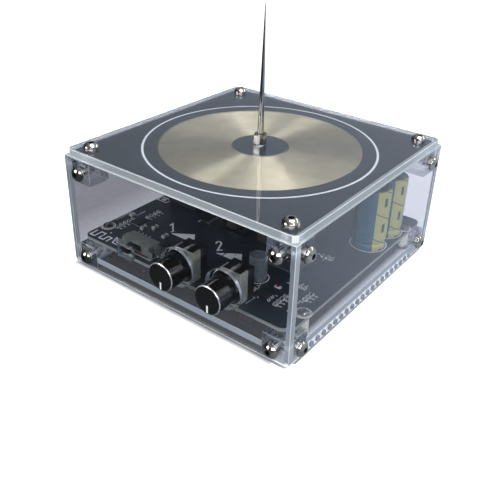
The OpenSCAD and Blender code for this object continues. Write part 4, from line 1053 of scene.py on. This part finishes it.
def studio_floor():
    """A sheet of white paper under the case, white wherever it is seen directly.

    Under the case it has a painted shadow, dark by place, for the shade of the two boards. Seen through the
    case it has painted shade that darkens it to the left, and in reflections a painted reflection, dark at
    the front left and pale at the back right. Off direct rays the paper is tinted cool.
    """
    made, tree, mm = material("white_paper_floor_painted_shadow")
    x, y, _ = add(tree, "SeparateXYZ", mm).outputs
    # How far a point lies from a spot 4 mm left of and 5 mm in front of the case's middle, by the longer side
    off = [add(tree, "Math", part, by, operation="ADD") for part, by in ((x, 4.0), (y, 5.0))]
    away = add(tree, "Math", *[add(tree, "Math", o, operation="ABSOLUTE") for o in off], operation="MAXIMUM")
    # Painted shadow under the case, dark by place
    under = add(tree, "MapRange", away, 56, 59, 0.1, 1.0)
    # Painted shade seen through the case, darker to the left
    through = add(tree, "MapRange", x, -100, -40, 0.3, 0.97)
    first = add(tree, "LightPath").outputs["Is Camera Ray"]
    seen = add(tree, "Math", through, first, operation="MAXIMUM")
    floor_painted_shadow_and_shade = add(tree, "Math", seen, under, operation="MULTIPLY")
    slope = add(tree, "VectorMath", mm, (0.65, 0.76, 0), operation="DOT_PRODUCT")
    # Painted reflection, dark at the front left and pale at the back right
    reflected = add(tree, "MapRange", slope, -60, 60, 0.08, 0.78)
    direct = seen_directly(tree)
    level = add(tree, "Mix", direct, reflected, floor_painted_shadow_and_shade)
    # A cool tint off direct rays, painted for the reflected and shaded light
    shown = add(tree, "Mix", direct, linear("#B6BFCC"), linear("#C8C8C8"), data_type="RGBA")
    glow = add(tree, "Emission", Strength=add(tree, "Math", direct, 0.68, operation="MULTIPLY"))
    lit = add(tree, "AddShader", add(tree, "BsdfDiffuse", shown), glow)
    # The dark shader stands where the painted shadow and shade fall
    shade = add(tree, "BsdfDiffuse", linear("#15171A"))
    add(tree, "OutputMaterial", add(tree, "MixShader", level, shade, lit))
    mesh = bpy.data.meshes.new("floor")
    mesh.from_pydata([(-6, -6, 0), (6, -6, 0), (6, 6, 0), (-6, 6, 0)], [], [(0, 1, 2, 3)])
    mesh.materials.append(made)
    obj = bpy.data.objects.new("floor", mesh)
    bpy.context.scene.collection.objects.link(obj)


studio_floor()

# The camera is solved from the case's corners in the photograph. Its place is counted in widths of the case
# from a spot a fifth of a width above the middle of its foot: to the side, up and back
FOCAL_PX, PHOTO_PX = 661.681, 500
azimuth, elevation, roll = math.radians(36.475), math.radians(29.080), math.radians(1.884)
level_back = np.array([math.sin(azimuth), -math.cos(azimuth), 0])
back = math.cos(elevation) * level_back + [0, 0, math.sin(elevation)]
right = np.array([math.cos(azimuth), math.sin(azimuth), 0])
above = np.cross(back, right)
across = math.cos(roll) * right + math.sin(roll) * above
up = -math.sin(roll) * right + math.cos(roll) * above
spot = np.array([0, 0, 0.2]) - 0.029677 * across - 0.061503 * up + 2.576228 * back
spot = (spot * CASE_W + CASE_MIDDLE) / 1000
camera = bpy.data.objects.new("camera", bpy.data.cameras.new("camera"))
camera.data.sensor_width, camera.data.lens = 36, FOCAL_PX / PHOTO_PX * 36
camera.data.shift_y = -0.05
camera.data.clip_start, camera.data.clip_end = 0.01, 50
camera.matrix_world = Matrix(np.vstack([np.column_stack([across, up, back, spot]), [0, 0, 0, 1]]).tolist())
bpy.context.scene.collection.objects.link(camera)
bpy.context.scene.camera = camera
bpy.context.scene.view_settings.view_transform = "Standard"

# Every carried-over solid keeps its shape and gets its finish
for node, finish in {
    "coil_board": mask_coil,
    "driver_board": mask_driver,
    "needle_stud": turned_brass,
    "socket_pin": tinned_sheet,
    "potentiometer_1_shaft": tinned_sheet,
    "potentiometer_2_shaft": tinned_sheet,
}.items():
    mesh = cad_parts[node].data
    mesh.materials.clear()
    mesh.materials.append(finish)
